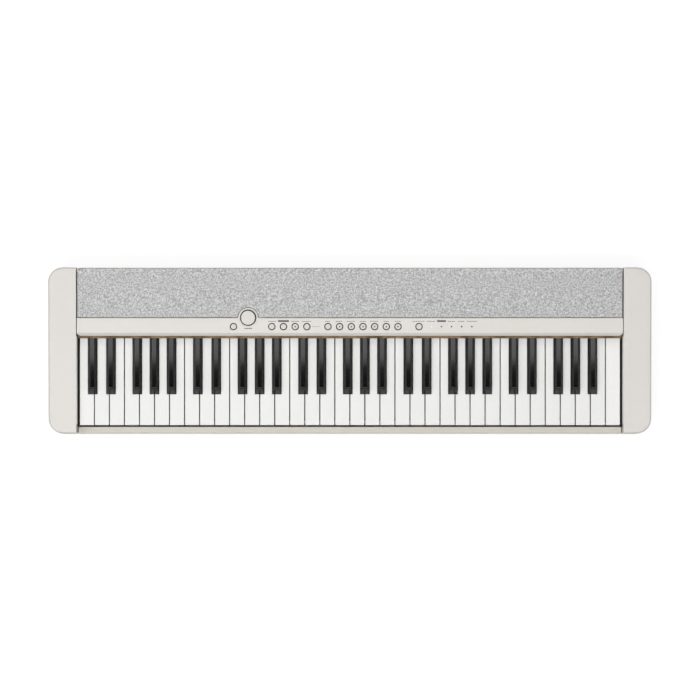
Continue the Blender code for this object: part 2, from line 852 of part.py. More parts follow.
def deck_oval():
    """The speaker opening's outline round its own middle."""
    return stadium(mouth_width, mouth_depth, SPEAKER_STEPS + 1)


def shifted(outline, x, back):
    return [(x + px, back + py) for px, py in outline]


def panel_board_ends():
    left = POWER_BUTTON_X - PANEL_BOARD_PAST_BUTTON
    return left, indicator_places()[-1] + PANEL_BOARD_PAST_LIGHT


def standoff_places():
    """Where the panel board's standoffs stand, between the button flanges and its front edge."""
    left, right = panel_board_ends()
    before_tones = MODE_BUTTON_X + MODE_BUTTONS * BUTTON_PITCH
    after_tones = TONE_BUTTON_X + TONE_BUTTONS * BUTTON_PITCH
    for x in (left + STANDOFF_INSET, before_tones, after_tones, right - STANDOFF_INSET):
        yield x, PANEL_BOARD_FRONT + STANDOFF_RADIUS


def upper_case():
    reach = console_half - SEAT_GAP
    deck_under = -DECK_DROP - CASE_WALL
    rim_in = console_depth - REAR_RIM
    section = [
        console_section(0, -PANEL_THICKNESS),
        console_section(0, -LIP_CHAMFER_DROP),
        console_section(LIP_CHAMFER_RUN, 0),
        console_section(PANEL_DEPTH, 0),
        console_section(PANEL_DEPTH, -DECK_DROP),
        console_section(rim_in, -DECK_DROP),
        console_section(rim_in, -REAR_EDGE),
        (rear_y, console_section(console_depth, 0)[1] - REAR_EDGE),
        (rear_y, seam_z + SEAT_GAP),
        (rear_y - CASE_WALL, seam_z + SEAT_GAP),
        (rear_y - CASE_WALL, console_section(console_depth, deck_under)[1]),
        console_section(PANEL_DEPTH - CASE_WALL, deck_under),
        console_section(PANEL_DEPTH - CASE_WALL, -PANEL_THICKNESS),
    ]
    shell = prism("upper_case", section, "X", -reach, reach)

    bulge = knob_bulge(0.0)
    joined_back = PANEL_DEPTH - COLLAR_OVERLAP
    bulge_outline = bulge + [(bulge[-1][0], joined_back), (bulge[0][0], joined_back)]
    under_bulge = deck_under + CASE_WALL / 6
    collar = loft("collar", [on_console(bulge_outline, height) for height in (under_bulge, -COLLAR_SINK)])
    well_profile = [(KNOB_COLLAR_RADIUS, under_bulge), (KNOB_COLLAR_RADIUS, -PANEL_THICKNESS + CUT_PAST)]
    well = turned("well", well_profile, POT_SHAFT_SIDES, console_axis(KNOB_X, KNOB_BACK))
    additions = [collar, well]
    post = [(STANDOFF_RADIUS, -PANEL_THICKNESS + CUT_PAST), (STANDOFF_RADIUS, panel_board_top() + SEAT_GAP)]
    for x, back in standoff_places():
        additions.append(turned("standoff", post, BOSS_SIDES, console_axis(x, back)))
    deck_low_z = console_section(console_depth, deck_under)[1]
    for x, y in console_column_places():
        additions.append(boss("column", x, y, seam_z + SEAT_GAP, deck_low_z, BOSS_RADIUS))
    for x, y in frame_post_places():
        additions.append(boss("frame_post", x, y, frame_flange_top_z() + SEAT_GAP, deck_low_z,
                              FRAME_POST_RADIUS))
    unite(shell, *additions)

    cuts = []

    def hole(name, radius, low, sides, x, back):
        profile = [(radius, low - CUT_PAST), (radius, CUT_PAST)]
        return turned(name, profile, sides, console_axis(x, back))

    for _, x in button_list():
        cuts.append(hole("button_hole", BUTTON_RADIUS + BUTTON_HOLE_GAP, -PANEL_THICKNESS, BUTTON_SIDES,
                         x, BUTTON_ROW))
    for x in indicator_places():
        cuts.append(hole("window", INDICATOR_RADIUS + SEAT_GAP, -PANEL_THICKNESS, INDICATOR_SIDES,
                         x, BUTTON_ROW))
    pocket_floor = -KNOB_SKIRT - KNOB_POCKET_GAP
    cuts.append(hole("pocket", KNOB_RADIUS + KNOB_HOLE_GAP, pocket_floor + CUT_PAST, KNOB_SIDES,
                     KNOB_X, KNOB_BACK))
    cuts.append(hole("shaft_hole", POT_SHAFT_RADIUS + SHAFT_HOLE_GAP, deck_under, POT_SHAFT_SIDES,
                     KNOB_X, KNOB_BACK))
    for side in (-1, 1):
        oval = shifted(deck_oval(), side * SPEAKER_X, speaker_back)
        cuts.append(loft("speaker_opening", [on_console(oval, height)
                                             for height in (deck_under - CUT_PAST, -DECK_DROP + CUT_PAST)]))
    cut(shell, *cuts)
    plan = rectangle(-reach, reach, lip_y - CUT_PAST, rear_y, CONSOLE_CORNER_RADIUS, 3)
    shape = prism("plan", plan, "Z", floor_z, 2 * lip_z)
    combine(shell, "INTERSECT", [shape])
    return cream_plastic(round_shading(shell))


def deck_fit_outline(gap):
    """The recessed deck's outline with the seam round the knob collar, moved in by a gap."""
    reach = console_half - SEAT_GAP - REAR_RIM - gap
    far = console_depth - REAR_RIM - gap
    corner = max(CLOTH_CORNER_RADIUS + CLOTH_GAP - gap, SHARPEST_FILLET)
    front = [(reach, PANEL_DEPTH + gap, 0), (reach, far, corner), (-reach, far, corner),
             (-reach, PANEL_DEPTH + gap, 0)]
    outline = rounded(front, 4)
    return outline + list(reversed(knob_bulge(gap)))


def grille_cloth():
    edge = CLOTH_EDGE_RADIUS
    thick = CLOTH_THICKNESS
    low = -DECK_DROP + SEAT_GAP

    def ring(depth, height):
        return on_console(deck_fit_outline(CLOTH_GAP + depth), height)

    rings = [
        ring(edge + thick * 0.2, -thick),
        ring(thick + edge * 0.22, -thick - edge * 0.22),
        ring(thick, -edge),
        ring(thick, low),
        ring(0, low),
        ring(0, -edge),
        ring(edge * 0.29, -edge * 0.29),
        ring(edge, 0.0),
    ]
    return paint(round_shading(loft("grille_cloth", rings)), "grille_cloth", (188, 188, 188), 0.95)


def speaker_grille():
    outline = deck_fit_outline(CLOTH_GAP + CLOTH_THICKNESS + CLOTH_EDGE_RADIUS)
    top = -CLOTH_THICKNESS - SEAT_GAP
    plate = loft("speaker_grille", [on_console(outline, height) for height in (top - GRILLE_THICKNESS, top)])
    slots = []
    pitch = grille_slot + GRILLE_BAR
    length = mouth_width - 2 * GRILLE_SLOT_END_GAP
    for side in (-1, 1):
        for number in range(GRILLE_SLOTS):
            middle = speaker_back + (number - (GRILLE_SLOTS - 1) / 2) * pitch
            outline = rectangle(side * SPEAKER_X - length / 2, side * SPEAKER_X + length / 2,
                                middle - grille_slot / 2, middle + grille_slot / 2)
            slots.append(loft("slot", [on_console(outline, height)
                                       for height in (top - GRILLE_THICKNESS - CUT_PAST, top + CUT_PAST)]))
    cut(plate, *slots)
    legs = []
    half = GRILLE_LEG / 2
    for x in (-GRILLE_LEG_X, 0, GRILLE_LEG_X):
        for back in (PANEL_DEPTH + GRILLE_LEG_FRONT_INSET, console_depth - GRILLE_LEG_REAR_INSET):
            placed = rectangle(x - half, x + half, back - half, back + half)
            heights = (-DECK_DROP + SEAT_GAP, top - GRILLE_THICKNESS / 2)
            legs.append(loft("leg", [on_console(placed, height) for height in heights]))
    unite(plate, *legs)
    return black_plastic(plate)


def key_felt_strip():
    reach = console_half - SEAT_GAP - FELT_END_INSET
    low = felt_top - FELT_THICKNESS
    outline = rectangle(-reach, reach, -FELT_SHOWN, felt_held)
    strip = loft("key_felt_strip", [on_console(outline, height) for height in (low, felt_top)])
    return paint(strip, "felt", (121, 101, 78), 0.95)


# Controls

def panel_board_top():
    """Height of the panel board's upper face under the panel."""
    stem_end = -PANEL_THICKNESS - SEAT_GAP - BUTTON_FLANGE_THICKNESS - BUTTON_STEM_LENGTH
    return stem_end - BUTTON_TRAVEL - SEAT_GAP - SWITCH_HEIGHT


def push_button(name, x):
    flange_top = -PANEL_THICKNESS - SEAT_GAP
    flange_radius = BUTTON_RADIUS + BUTTON_HOLE_GAP + BUTTON_FLANGE
    flange_low = flange_top - BUTTON_FLANGE_THICKNESS
    profile = [
        (BUTTON_RADIUS, BUTTON_RISE),
        (BUTTON_RADIUS, flange_top),
        (flange_radius, flange_top),
        (flange_radius, flange_low),
        (BUTTON_STEM_RADIUS, flange_low),
        (BUTTON_STEM_RADIUS, flange_low - BUTTON_STEM_LENGTH),
    ]
    place = console_axis(x, BUTTON_ROW)
    cap = turned(name, profile, BUTTON_SIDES, place)
    return cream_plastic(round_shading(set_origin(cap, place.translation)))


def indicator_light_pipe():
    top = -PANEL_THICKNESS - SEAT_GAP
    places = indicator_places()
    half = PIPE_WIDTH / 2
    outline = rectangle(places[0] - half, places[-1] + half, BUTTON_ROW - half, BUTTON_ROW + half)
    bar_heights = (top - PIPE_THICKNESS, top)
    bar = loft("indicator_light_pipe", [on_console(outline, height) for height in bar_heights])
    pin = [(INDICATOR_RADIUS, top - CUT_PAST), (INDICATOR_RADIUS, 0)]
    pins = [turned("pin", pin, INDICATOR_SIDES, console_axis(x, BUTTON_ROW)) for x in places]
    unite(bar, *pins)
    return paint(bar, "clear_plastic", (206, 208, 206), 0.2)


def panel_board():
    top = panel_board_top()
    left, right = panel_board_ends()
    outline = rectangle(left, right, PANEL_BOARD_FRONT, PANEL_BOARD_FRONT + PANEL_BOARD_DEPTH)
    board_heights = (top - PANEL_BOARD_THICKNESS, top)
    board = loft("panel_board", [on_console(outline, height) for height in board_heights])
    half = SWITCH_WIDTH / 2
    switches = []
    for _, x in button_list():
        base = rectangle(x - half, x + half, BUTTON_ROW - half, BUTTON_ROW + half)
        heights = (top - PANEL_BOARD_THICKNESS / 2, top + SWITCH_HEIGHT)
        switches.append(loft("switch", [on_console(base, height) for height in heights]))
    unite(board, *switches)
    return circuit_board(board)


def volume_knob():
    bore = POT_SHAFT_RADIUS + SEAT_GAP
    profile = [
        (KNOB_RADIUS - KNOB_EDGE, KNOB_RISE),
        (KNOB_RADIUS, KNOB_RISE - KNOB_EDGE),
        (KNOB_RADIUS, -KNOB_SKIRT),
        (KNOB_RADIUS - KNOB_WALL, -KNOB_SKIRT),
        (KNOB_RADIUS - KNOB_WALL, KNOB_RISE - KNOB_TOP_THICKNESS),
        (KNOB_HUB_RADIUS, KNOB_RISE - KNOB_TOP_THICKNESS),
        (KNOB_HUB_RADIUS, -KNOB_SKIRT),
        (bore, -KNOB_SKIRT),
        (bore, KNOB_RISE - 2 * KNOB_TOP_THICKNESS),
    ]
    place = console_axis(KNOB_X, KNOB_BACK)
    knob = turned("volume_knob", profile, KNOB_SIDES, place)
    return cream_plastic(round_shading(set_origin(knob, place.translation)))


def volume_pot():
    top = -DECK_DROP - CASE_WALL - SEAT_GAP
    outline = rectangle(KNOB_X - POT_WIDTH / 2, KNOB_X + POT_WIDTH / 2,
                        KNOB_BACK - POT_DEPTH / 2, KNOB_BACK + POT_DEPTH / 2)
    body = loft("volume_pot", [on_console(outline, height) for height in (top - POT_HEIGHT, top)])
    shaft_top = KNOB_RISE - 2 * KNOB_TOP_THICKNESS - SEAT_GAP
    shaft = [(POT_SHAFT_RADIUS, top - CUT_PAST), (POT_SHAFT_RADIUS, shaft_top)]
    unite(body, turned("shaft", shaft, POT_SHAFT_SIDES, console_axis(KNOB_X, KNOB_BACK)))
    return bright_metal(round_shading(body))


# Key action

def octave_left(octave):
    return -field_half + octave * WHITES_IN_OCTAVE * KEY_PITCH


def white_span(octave, index):
    left = octave_left(octave) + index * KEY_PITCH
    return left + KEY_GAP / 2, left + KEY_PITCH - KEY_GAP / 2


def white_tail(octave, index):
    """Left and right sides of a white key behind the front ends of the black keys."""
    left, right = white_span(octave, index)
    clear = BLACK_BASE_WIDTH / 2 + BLACK_SIDE_GAP
    for centre in BLACK_CENTRES:
        x = octave_left(octave) + centre * KEY_PITCH
        if abs(centre - index) < 0.5:
            left = x + clear
        if abs(centre - index - 1) < 0.5:
            right = x - clear
    return left, right


def white_outline(octave, index, notched=True):
    left, right = white_span(octave, index)
    tail_left, tail_right = white_tail(octave, index) if notched else (left, right)
    near = key_front_y
    notch = black_front_y - BLACK_FRONT_GAP
    outline = [(left, near), (right, near)]
    if tail_right < right:
        outline += [(right, notch), (tail_right, notch)]
    outline += [(tail_right, key_tail_y), (tail_left, key_tail_y)]
    if tail_left > left:
        outline += [(tail_left, notch), (left, notch)]
    return outline


def add_white_key(form, outline):
    inner = inset(outline, KEY_WALL)
    add_loft(form, [
        level(inner, white_top_z - KEY_TOP_THICKNESS),
        level(inner, white_bottom_z),
        level(outline, white_bottom_z),
        level(outline, white_top_z - KEY_EDGE),
        level(inset(outline, KEY_EDGE), white_top_z),
    ])


def add_black_key(form, x):
    low = white_top_z - BLACK_SKIRT
    shelf = high_rail_z + RAIL_THICKNESS / 2 + BLACK_TAIL_RISE
    step_y = lip_y + BLACK_STEP_PAST_LIP
    crest_far = step_y - BLACK_STEP_LEAN
    crest_half = BLACK_TOP_WIDTH / 2
    base_half = BLACK_BASE_WIDTH / 2
    wall = KEY_WALL
    front = black_front_y
    slope_run = BLACK_FRONT_RUN

    def ring(half, near, far, height):
        return level(rectangle(x - half, x + half, near, far), height)

    add_loft(form, [
        ring(crest_half - BLACK_HOLLOW_MARGIN, front + slope_run + wall, crest_far - BLACK_HOLLOW_MARGIN,
             black_top_z - KEY_TOP_THICKNESS),
        ring(base_half - wall, front + wall, key_tail_y - wall, shelf - wall),
        ring(base_half - wall, front + wall, key_tail_y - wall, low),
        ring(base_half, front, key_tail_y, low),
        ring(base_half, front, key_tail_y, shelf),
        ring(base_half, front, step_y, white_top_z + BLACK_STEP_RISE),
        ring(crest_half + BLACK_CREST / 2, front + slope_run - BLACK_CREST, crest_far + BLACK_CREST / 2,
             black_top_z - BLACK_CREST),
        ring(crest_half, front + slope_run, crest_far, black_top_z),
    ])


def comb(name, fill_keys, tooth_centres, left, right, rail_z):
    """Keys on one hinge rail. Each key meets the rail through a thin tooth that bends."""
    form = bmesh.new()
    fill_keys(form)
    half = RAIL_THICKNESS / 2
    add_box(form, (left, rail_front_y, rail_z - half), (right, rail_rear_y, rail_z + half))
    body = finished(name, form)
    form = bmesh.new()
    for x in tooth_centres:
        add_box(form, (x - TOOTH_WIDTH / 2, key_tail_y - KEY_WALL / 2, rail_z - TOOTH_THICKNESS / 2),
                (x + TOOTH_WIDTH / 2, rail_front_y + RAIL_DEPTH / 3, rail_z + TOOTH_THICKNESS / 2))
    unite(body, finished("teeth", form))
    return set_origin(body, ((left + right) / 2, hinge_y, rail_z))


def white_comb(name, octave, indexes, rail_z, notched=True):
    spans = [white_tail(octave, index) if notched else white_span(octave, index) for index in indexes]

    def fill(form):
        for index in indexes:
            add_white_key(form, white_outline(octave, index, notched))

    centres = [(left + right) / 2 for left, right in spans]
    rail_left = octave_left(octave) + KEY_GAP / 2
    rail_right = rail_left + WHITES_IN_OCTAVE * KEY_PITCH - KEY_GAP
    if not notched:
        rail_right = rail_left + KEY_PITCH - KEY_GAP
    return white_key_plastic(comb(name, fill, centres, rail_left, rail_right, rail_z))


def black_comb(name, octave):
    centres = [octave_left(octave) + centre * KEY_PITCH for centre in BLACK_CENTRES]

    def fill(form):
        for x in centres:
            add_black_key(form, x)

    rail_left = octave_left(octave) + KEY_GAP / 2
    rail_right = rail_left + WHITES_IN_OCTAVE * KEY_PITCH - KEY_GAP
    return black_key_plastic(comb(name, fill, centres, rail_left, rail_right, high_rail_z))


def frame_low_z():
    return inner_floor_z + FRAME_BOSS_HEIGHT + SEAT_GAP


def frame_flange_top_z():
    return high_rail_z + RAIL_THICKNESS / 2 + RAIL_GAP + FRAME_SEAT_WALL


def lowest_key_z(y, height):
    """How low a key edge of this height gets at this y when the key is pressed."""
    return height - (hinge_y - y) * math.sin(key_dip)


def guide_wall(name, centres, width, near, low, band_top, post_top, reach):
    """A wall with one upright guide post inside each key."""
    outline = [(-reach, low), (reach, low), (reach, band_top)]
    for x in reversed(centres):
        half = width / 2
        outline += [(x + half, band_top), (x + half, post_top), (x - half, post_top), (x - half, band_top)]
    outline.append((-reach, band_top))
    return prism(name, outline, "Y", near, near + GUIDE_DEPTH)


def contact_board_low_z():
    return lowest_key_z(contact_y(), white_bottom_z) - CONTACT_BOARD_DROP


def contact_y():
    return (key_front_y + key_tail_y) / 2 + CONTACT_BEHIND_MIDDLE


def key_frame():
    low = frame_low_z()
    high = low + FRAME_PLATE
    reach = field_half + FIELD_END_GAP - FRAME_SIDE_GAP
    white_guide_y = key_front_y + GUIDE_BACK_FROM_FRONT
    black_guide_y = black_front_y + GUIDE_BACK_FROM_FRONT
    near = white_guide_y - FRAME_FRONT_MARGIN
    riser_front = rail_rear_y + RAIL_GAP
    shelf_top = low_rail_z - RAIL_THICKNESS / 2 - RAIL_GAP
    flange_top = frame_flange_top_z()
    flange_low = flange_top - FRAME_SEAT_WALL
    seat_front = key_tail_y + TOOTH_LENGTH * 0.6
    section = [
        (near, low),
        (frame_rear_y, low),
        (frame_rear_y, flange_top),
        (seat_front, flange_top),
        (seat_front, flange_low),
        (riser_front, flange_low),
        (riser_front, shelf_top),
        (seat_front, shelf_top),
        (seat_front, shelf_top - FRAME_SEAT_WALL),
        (riser_front, shelf_top - FRAME_SEAT_WALL),
        (riser_front, high),
    ]
    rib_top = contact_board_low_z() - SEAT_GAP
    rib_reach = CONTACT_BOARD_DEPTH / 2 - BOARD_RIB_INSET
    for middle in (contact_y() + rib_reach, contact_y() - rib_reach):
        section += [(middle + BOARD_RIB / 2, high), (middle + BOARD_RIB / 2, rib_top),
                    (middle - BOARD_RIB / 2, rib_top), (middle - BOARD_RIB / 2, high)]
    section.append((near, high))
    frame = prism("key_frame", section, "X", -reach, reach)

    white_centres = []
    black_centres = []
    for octave in range(OCTAVES):
        white_centres += [sum(white_span(octave, index)) / 2 for index in range(WHITES_IN_OCTAVE)]
        black_centres += [octave_left(octave) + centre * KEY_PITCH for centre in BLACK_CENTRES]
    white_centres.append(sum(white_span(OCTAVES, 0)) / 2)
    white_band = lowest_key_z(white_guide_y, white_bottom_z) - DIP_CLEARANCE
    white_post = lowest_key_z(white_guide_y, white_top_z - KEY_TOP_THICKNESS) - GUIDE_HEADROOM
    black_band = lowest_key_z(black_guide_y, white_bottom_z) - DIP_CLEARANCE
    black_post = lowest_key_z(black_guide_y, white_top_z) - GUIDE_HEADROOM
    base = high - CUT_PAST
    white_guides = guide_wall("white_guides", white_centres, WHITE_GUIDE_WIDTH, white_guide_y, base,
                              white_band, white_post, reach)
    black_guides = guide_wall("black_guides", black_centres, BLACK_GUIDE_WIDTH, black_guide_y, base,
                              black_band, black_post, reach)
    unite(frame, white_guides, black_guides)
    return grey_frame_plastic(frame)


def key_contact_board():
    low = contact_board_low_z()
    reach = field_half
    middle = contact_y()
    half = CONTACT_BOARD_DEPTH / 2
    board = box("key_contact_board", (-reach, middle - half, low),
                (reach, middle + half, low + CONTACT_BOARD_THICKNESS))
    return circuit_board(board)


def contact_rubber_strip():
    low = contact_board_low_z() + CONTACT_BOARD_THICKNESS + SEAT_GAP
    middle = contact_y()
    right_side = [
        (STRIP_WIDTH / 2, low),
        (STRIP_WIDTH / 2, low + STRIP_BASE),
        (STRIP_RIDGE_WIDTH / 2, low + STRIP_BASE + SEAT_GAP),
        (STRIP_TOP_WIDTH / 2, low + STRIP_HEIGHT),
    ]
    section = [(middle + half, height) for half, height in right_side]
    section += [(middle - half, height) for half, height in reversed(right_side)]
    reach = field_half - STRIP_END_GAP
    return rubber(prism("contact_rubber_strip", section, "X", -reach, reach))


# Sound, power and sockets

def speaker(name, side):
    top = -DECK_DROP - CASE_WALL - SEAT_GAP
    x = side * SPEAKER_X

    def ring(width, depth, height):
        return on_console(shifted(stadium(width, depth, SPEAKER_STEPS), x, speaker_back), height)

    flange_low = top - SPEAKER_FLANGE_THICKNESS
    basket_low = top - SPEAKER_BASKET_HEIGHT
    magnet = 2 * SPEAKER_MAGNET_RADIUS
    wall = SPEAKER_BASKET_WALL
    neck = magnet - 2 * SPEAKER_BASKET_NECK
    body = loft(name, [
        ring(neck - 2 * wall, neck - 2 * wall - ROUND_FLAT, basket_low + wall),
        ring(mouth_width, mouth_depth, flange_low),
        ring(mouth_width, mouth_depth, top),
        ring(SPEAKER_WIDTH, speaker_depth, top),
        ring(SPEAKER_WIDTH, speaker_depth, flange_low),
        ring(mouth_width + 2 * wall, mouth_depth + 2 * wall, flange_low),
        ring(neck, neck - ROUND_FLAT, basket_low),
        ring(magnet, magnet - ROUND_FLAT, basket_low),
        ring(magnet, magnet - ROUND_FLAT, basket_low - SPEAKER_MAGNET_HEIGHT),
    ])
    return paint(round_shading(body), "speaker_metal", (70, 70, 74), 0.45, 0.8)


def speaker_cone(name, side):
    top = -DECK_DROP - CASE_WALL - SEAT_GAP
    x = side * SPEAKER_X

    def ring(width, depth, height):
        return on_console(shifted(stadium(width, depth, SPEAKER_STEPS), x, speaker_back), height)

    cone_width = mouth_width - 2 * SEAT_GAP
    cone_depth = mouth_depth - 2 * SEAT_GAP
    edge = top - CONE_THICKNESS
    roll = CONE_ROLL
    deep = top - CONE_DEPTH
    cap = 2 * DUST_CAP_RADIUS
    body = loft(name, [
        ring(cap, cap - ROUND_FLAT, deep),
        ring(cone_width - 2 * roll, cone_depth - 2 * roll, edge - CONE_THICKNESS),
        ring(cone_width, cone_depth, edge),
        ring(cone_width - 2 * CONE_THICKNESS, cone_depth - 2 * CONE_THICKNESS, edge + CONE_THICKNESS / 2),
        ring(cone_width - 2 * roll, cone_depth - 2 * roll, edge),
        ring(cap, cap - ROUND_FLAT, deep + CONE_THICKNESS * 1.6),
        ring(cap / 2, cap / 2 - ROUND_FLAT, deep + DUST_CAP_RISE),
    ])
    return paint(round_shading(body), "speaker_paper", (40, 40, 42), 0.9)


def cover_hinge():
    """A point on the battery cover's turning line, in the middle of its rounded near edge."""
    left, right, near, _ = cover_extent()
    return ((left + right) / 2, near + COVER_THICKNESS / 2, floor_z + COVER_THICKNESS / 2)


def battery_cover():
    left, right, near, far = cover_extent()
    _, axis_y, axis_z = cover_hinge()
    radius = COVER_THICKNESS / 2
    section = [(far, floor_z), (far, floor_z + COVER_THICKNESS)]
    steps = 6
    for step in range(steps + 1):
        angle = math.pi / 2 + math.pi * step / steps
        section.append((axis_y + radius * math.cos(angle), axis_z + radius * math.sin(angle)))
    cover = prism("battery_cover", section, "X", left, right)
    tongues = []
    base_low = floor_z + COVER_THICKNESS / 2
    tongue_low = inner_floor_z + SEAT_GAP
    tongue_top = tongue_low + COVER_TONGUE_THICKNESS
    root_y = axis_y + COVER_TONGUE_ROOT
    for x in (left + COVER_TONGUE_INSET, right - COVER_TONGUE_INSET):
        outline = [
            (axis_y, base_low),
            (root_y, base_low),
            (root_y, tongue_top),
            (near - COVER_TONGUE_LENGTH, tongue_top),
            (near - COVER_TONGUE_LENGTH, tongue_low),
            (axis_y, tongue_low),
        ]
        tongues.append(prism("tongue", outline, "X", x - COVER_TONGUE_WIDTH / 2, x + COVER_TONGUE_WIDTH / 2))
    unite(cover, *tongues)
    return cream_plastic(round_shading(set_origin(cover, cover_hinge())))


def battery_contacts(name, side):
    """A bent strip with one leaf for each row of cells, at the left or right end of the bay."""
    left, right, near, far = bay_extent()
    start = near + TONGUE_LEDGE
    row = (far - start) / BATTERY_ROWS
    first_y = start + CONTACT_END_GAP
    last_y = far - CONTACT_END_GAP
    flat = CONTACT_FLAT / 2
    foot_reach = flat + CONTACT_RISE_LENGTH
    wall_x = left + SEAT_GAP if side < 0 else right - SEAT_GAP
    into = 1 if side < 0 else -1
    thick = CONTACT_THICKNESS * into
    bulge = CONTACT_BULGE * into
    front = [(wall_x, first_y), (wall_x, last_y)]
    back = [(wall_x + thick, last_y)]
    for number in reversed(range(BATTERY_ROWS)):
        middle = start + (number + 0.5) * row
        back += [(wall_x + thick, middle + foot_reach), (wall_x + bulge, middle + flat),
                 (wall_x + bulge, middle - flat), (wall_x + thick, middle - foot_reach)]
    back.append((wall_x + thick, first_y))
    strip = prism(name, front + back, "Z", inner_floor_z + CONTACT_LOW, inner_floor_z + CONTACT_HIGH)
    return bright_metal(strip)


def main_board():
    low = inner_floor_z + MAIN_BOARD_BOSS + SEAT_GAP
    top = low + MAIN_BOARD_THICKNESS
    far = rear_y - MAIN_BOARD_REAR_INSET
    near = far - MAIN_BOARD_DEPTH
    board = box("main_board", (MAIN_BOARD_X, near, low), (MAIN_BOARD_X + MAIN_BOARD_WIDTH, far, top))
    middle = top - MAIN_BOARD_THICKNESS / 2
    chips = []
    for along, back, width, depth, height in (SOUND_CHIP, AMPLIFIER_CHIP):
        corner = (MAIN_BOARD_X + along, near + back)
        chips.append(box("chip", (*corner, middle), (corner[0] + width, corner[1] + depth, top + height)))
    along, back = CAPACITOR_PLACE
    chips.append(boss("capacitor", MAIN_BOARD_X + along, near + back, middle, top + CAPACITOR_HEIGHT,
                      CAPACITOR_RADIUS, COLUMN_SIDES + 2))
    unite(board, *chips)
    return circuit_board(board)


def socket_body(name, x, length):
    """The square body of a round socket, just inside the rear wall."""
    axis_z = jack_axis_z()
    half = JACK_BODY / 2
    wall_inside = rear_y - CASE_WALL - SOCKET_WALL_GAP
    return box(name, (x - half, wall_inside - length, axis_z - half), (x + half, wall_inside, axis_z + half))


def jack(name, x):
    """A 6.35 mm socket on the main board whose threaded nose and nut show at the rear."""
    place = facing_rear(x, jack_axis_z())
    body = socket_body(name, x, JACK_BODY_LENGTH)
    nose = [
        (JACK_NOSE_RADIUS, -REAR_HOLE_REACH),
        (JACK_NOSE_RADIUS, SEAT_GAP),
        (JACK_COLLAR_RADIUS, SEAT_GAP),
        (JACK_COLLAR_RADIUS - JACK_COLLAR_TAPER, JACK_COLLAR_REACH),
    ]
    unite(body, turned("nose", nose, SOCKET_SIDES, place))
    bore = [(JACK_BORE_RADIUS, -JACK_BORE_DEPTH), (JACK_BORE_RADIUS, REAR_HOLE_REACH)]
    cut(body, turned("bore", bore, SOCKET_SIDES, place))
    return black_plastic(round_shading(body))


def dc_inlet():
    place = facing_rear(DC_INLET_X, jack_axis_z())
    body = socket_body("dc_inlet", DC_INLET_X, DC_BODY_LENGTH)
    nose = [(DC_NOSE_RADIUS, -REAR_HOLE_REACH), (DC_NOSE_RADIUS, -SEAT_GAP)]
    bore = [(DC_BORE_RADIUS, -DC_BORE_DEPTH), (DC_BORE_RADIUS, REAR_HOLE_REACH)]
    pin = [(DC_PIN_RADIUS, -DC_BORE_DEPTH - SEAT_GAP), (DC_PIN_RADIUS, -DC_PIN_SET_BACK)]
    unite(body, turned("nose", nose, SOCKET_SIDES, place))
    cut(body, turned("bore", bore, SOCKET_SIDES, place))
    unite(body, turned("pin", pin, COLUMN_SIDES, place))
    return black_plastic(round_shading(body))


def usb_port():
    low = jack_axis_z() - JACK_BODY / 2
    top = low + USB_HEIGHT
    far = rear_y - SEAT_GAP
    near = far - USB_LENGTH
    half = USB_WIDTH / 2
    wall = USB_SHELL
    shell = box("usb_port", (USB_X - half, near, low), (USB_X + half, far, top))
    cut(shell, box("mouth", (USB_X - half + wall, near + USB_BACK, low + wall),
                   (USB_X + half - wall, far + CUT_PAST, top - wall)))
    middle = (low + top) / 2
    tongue_half = USB_TONGUE_WIDTH / 2
    thin = USB_TONGUE_THICKNESS / 2
    unite(shell, box("tongue", (USB_X - tongue_half, near + USB_BACK / 2, middle - thin),
                     (USB_X + tongue_half, far - USB_TONGUE_SET_BACK, middle + thin)))
    return bright_metal(shell)


def build():
    clear_scene()
    lower_case()
    upper_case()
    end_block("left_end_block", -1)
    end_block("right_end_block", 1)
    front_rail()
    speaker_grille()
    grille_cloth()
    key_felt_strip()
    corner_names = ("front_left", "rear_left", "front_right", "rear_right")
    for corner_name, (x, y) in zip(corner_names, foot_places()):
        foot("foot_" + corner_name, x, y)

    key_frame()
    key_contact_board()
    contact_rubber_strip()
    for octave in range(OCTAVES):
        white_comb(f"white_keys_cegb_{octave + 1}", octave, (0, 2, 4, 6), low_rail_z)
        white_comb(f"white_keys_dfa_{octave + 1}", octave, (1, 3, 5), middle_rail_z)
        black_comb(f"black_keys_{octave + 1}", octave)
    white_comb("white_key_top_c", OCTAVES, (0,), low_rail_z, notched=False)

    for name, x in button_list():
        push_button(name, x)
    indicator_light_pipe()
    panel_board()
    volume_knob()
    volume_pot()

    for side_name, side in (("left", -1), ("right", 1)):
        speaker("speaker_" + side_name, side)
        speaker_cone("speaker_cone_" + side_name, side)
        battery_contacts("battery_contacts_" + side_name, side)
    battery_cover()
    main_board()
    jack("pedal_jack", PEDAL_JACK_X)
    jack("headphone_jack", headphone_jack_x)
    dc_inlet()
    usb_port()


build()
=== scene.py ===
import math

import bmesh
import bpy
from mathutils import Matrix, Vector


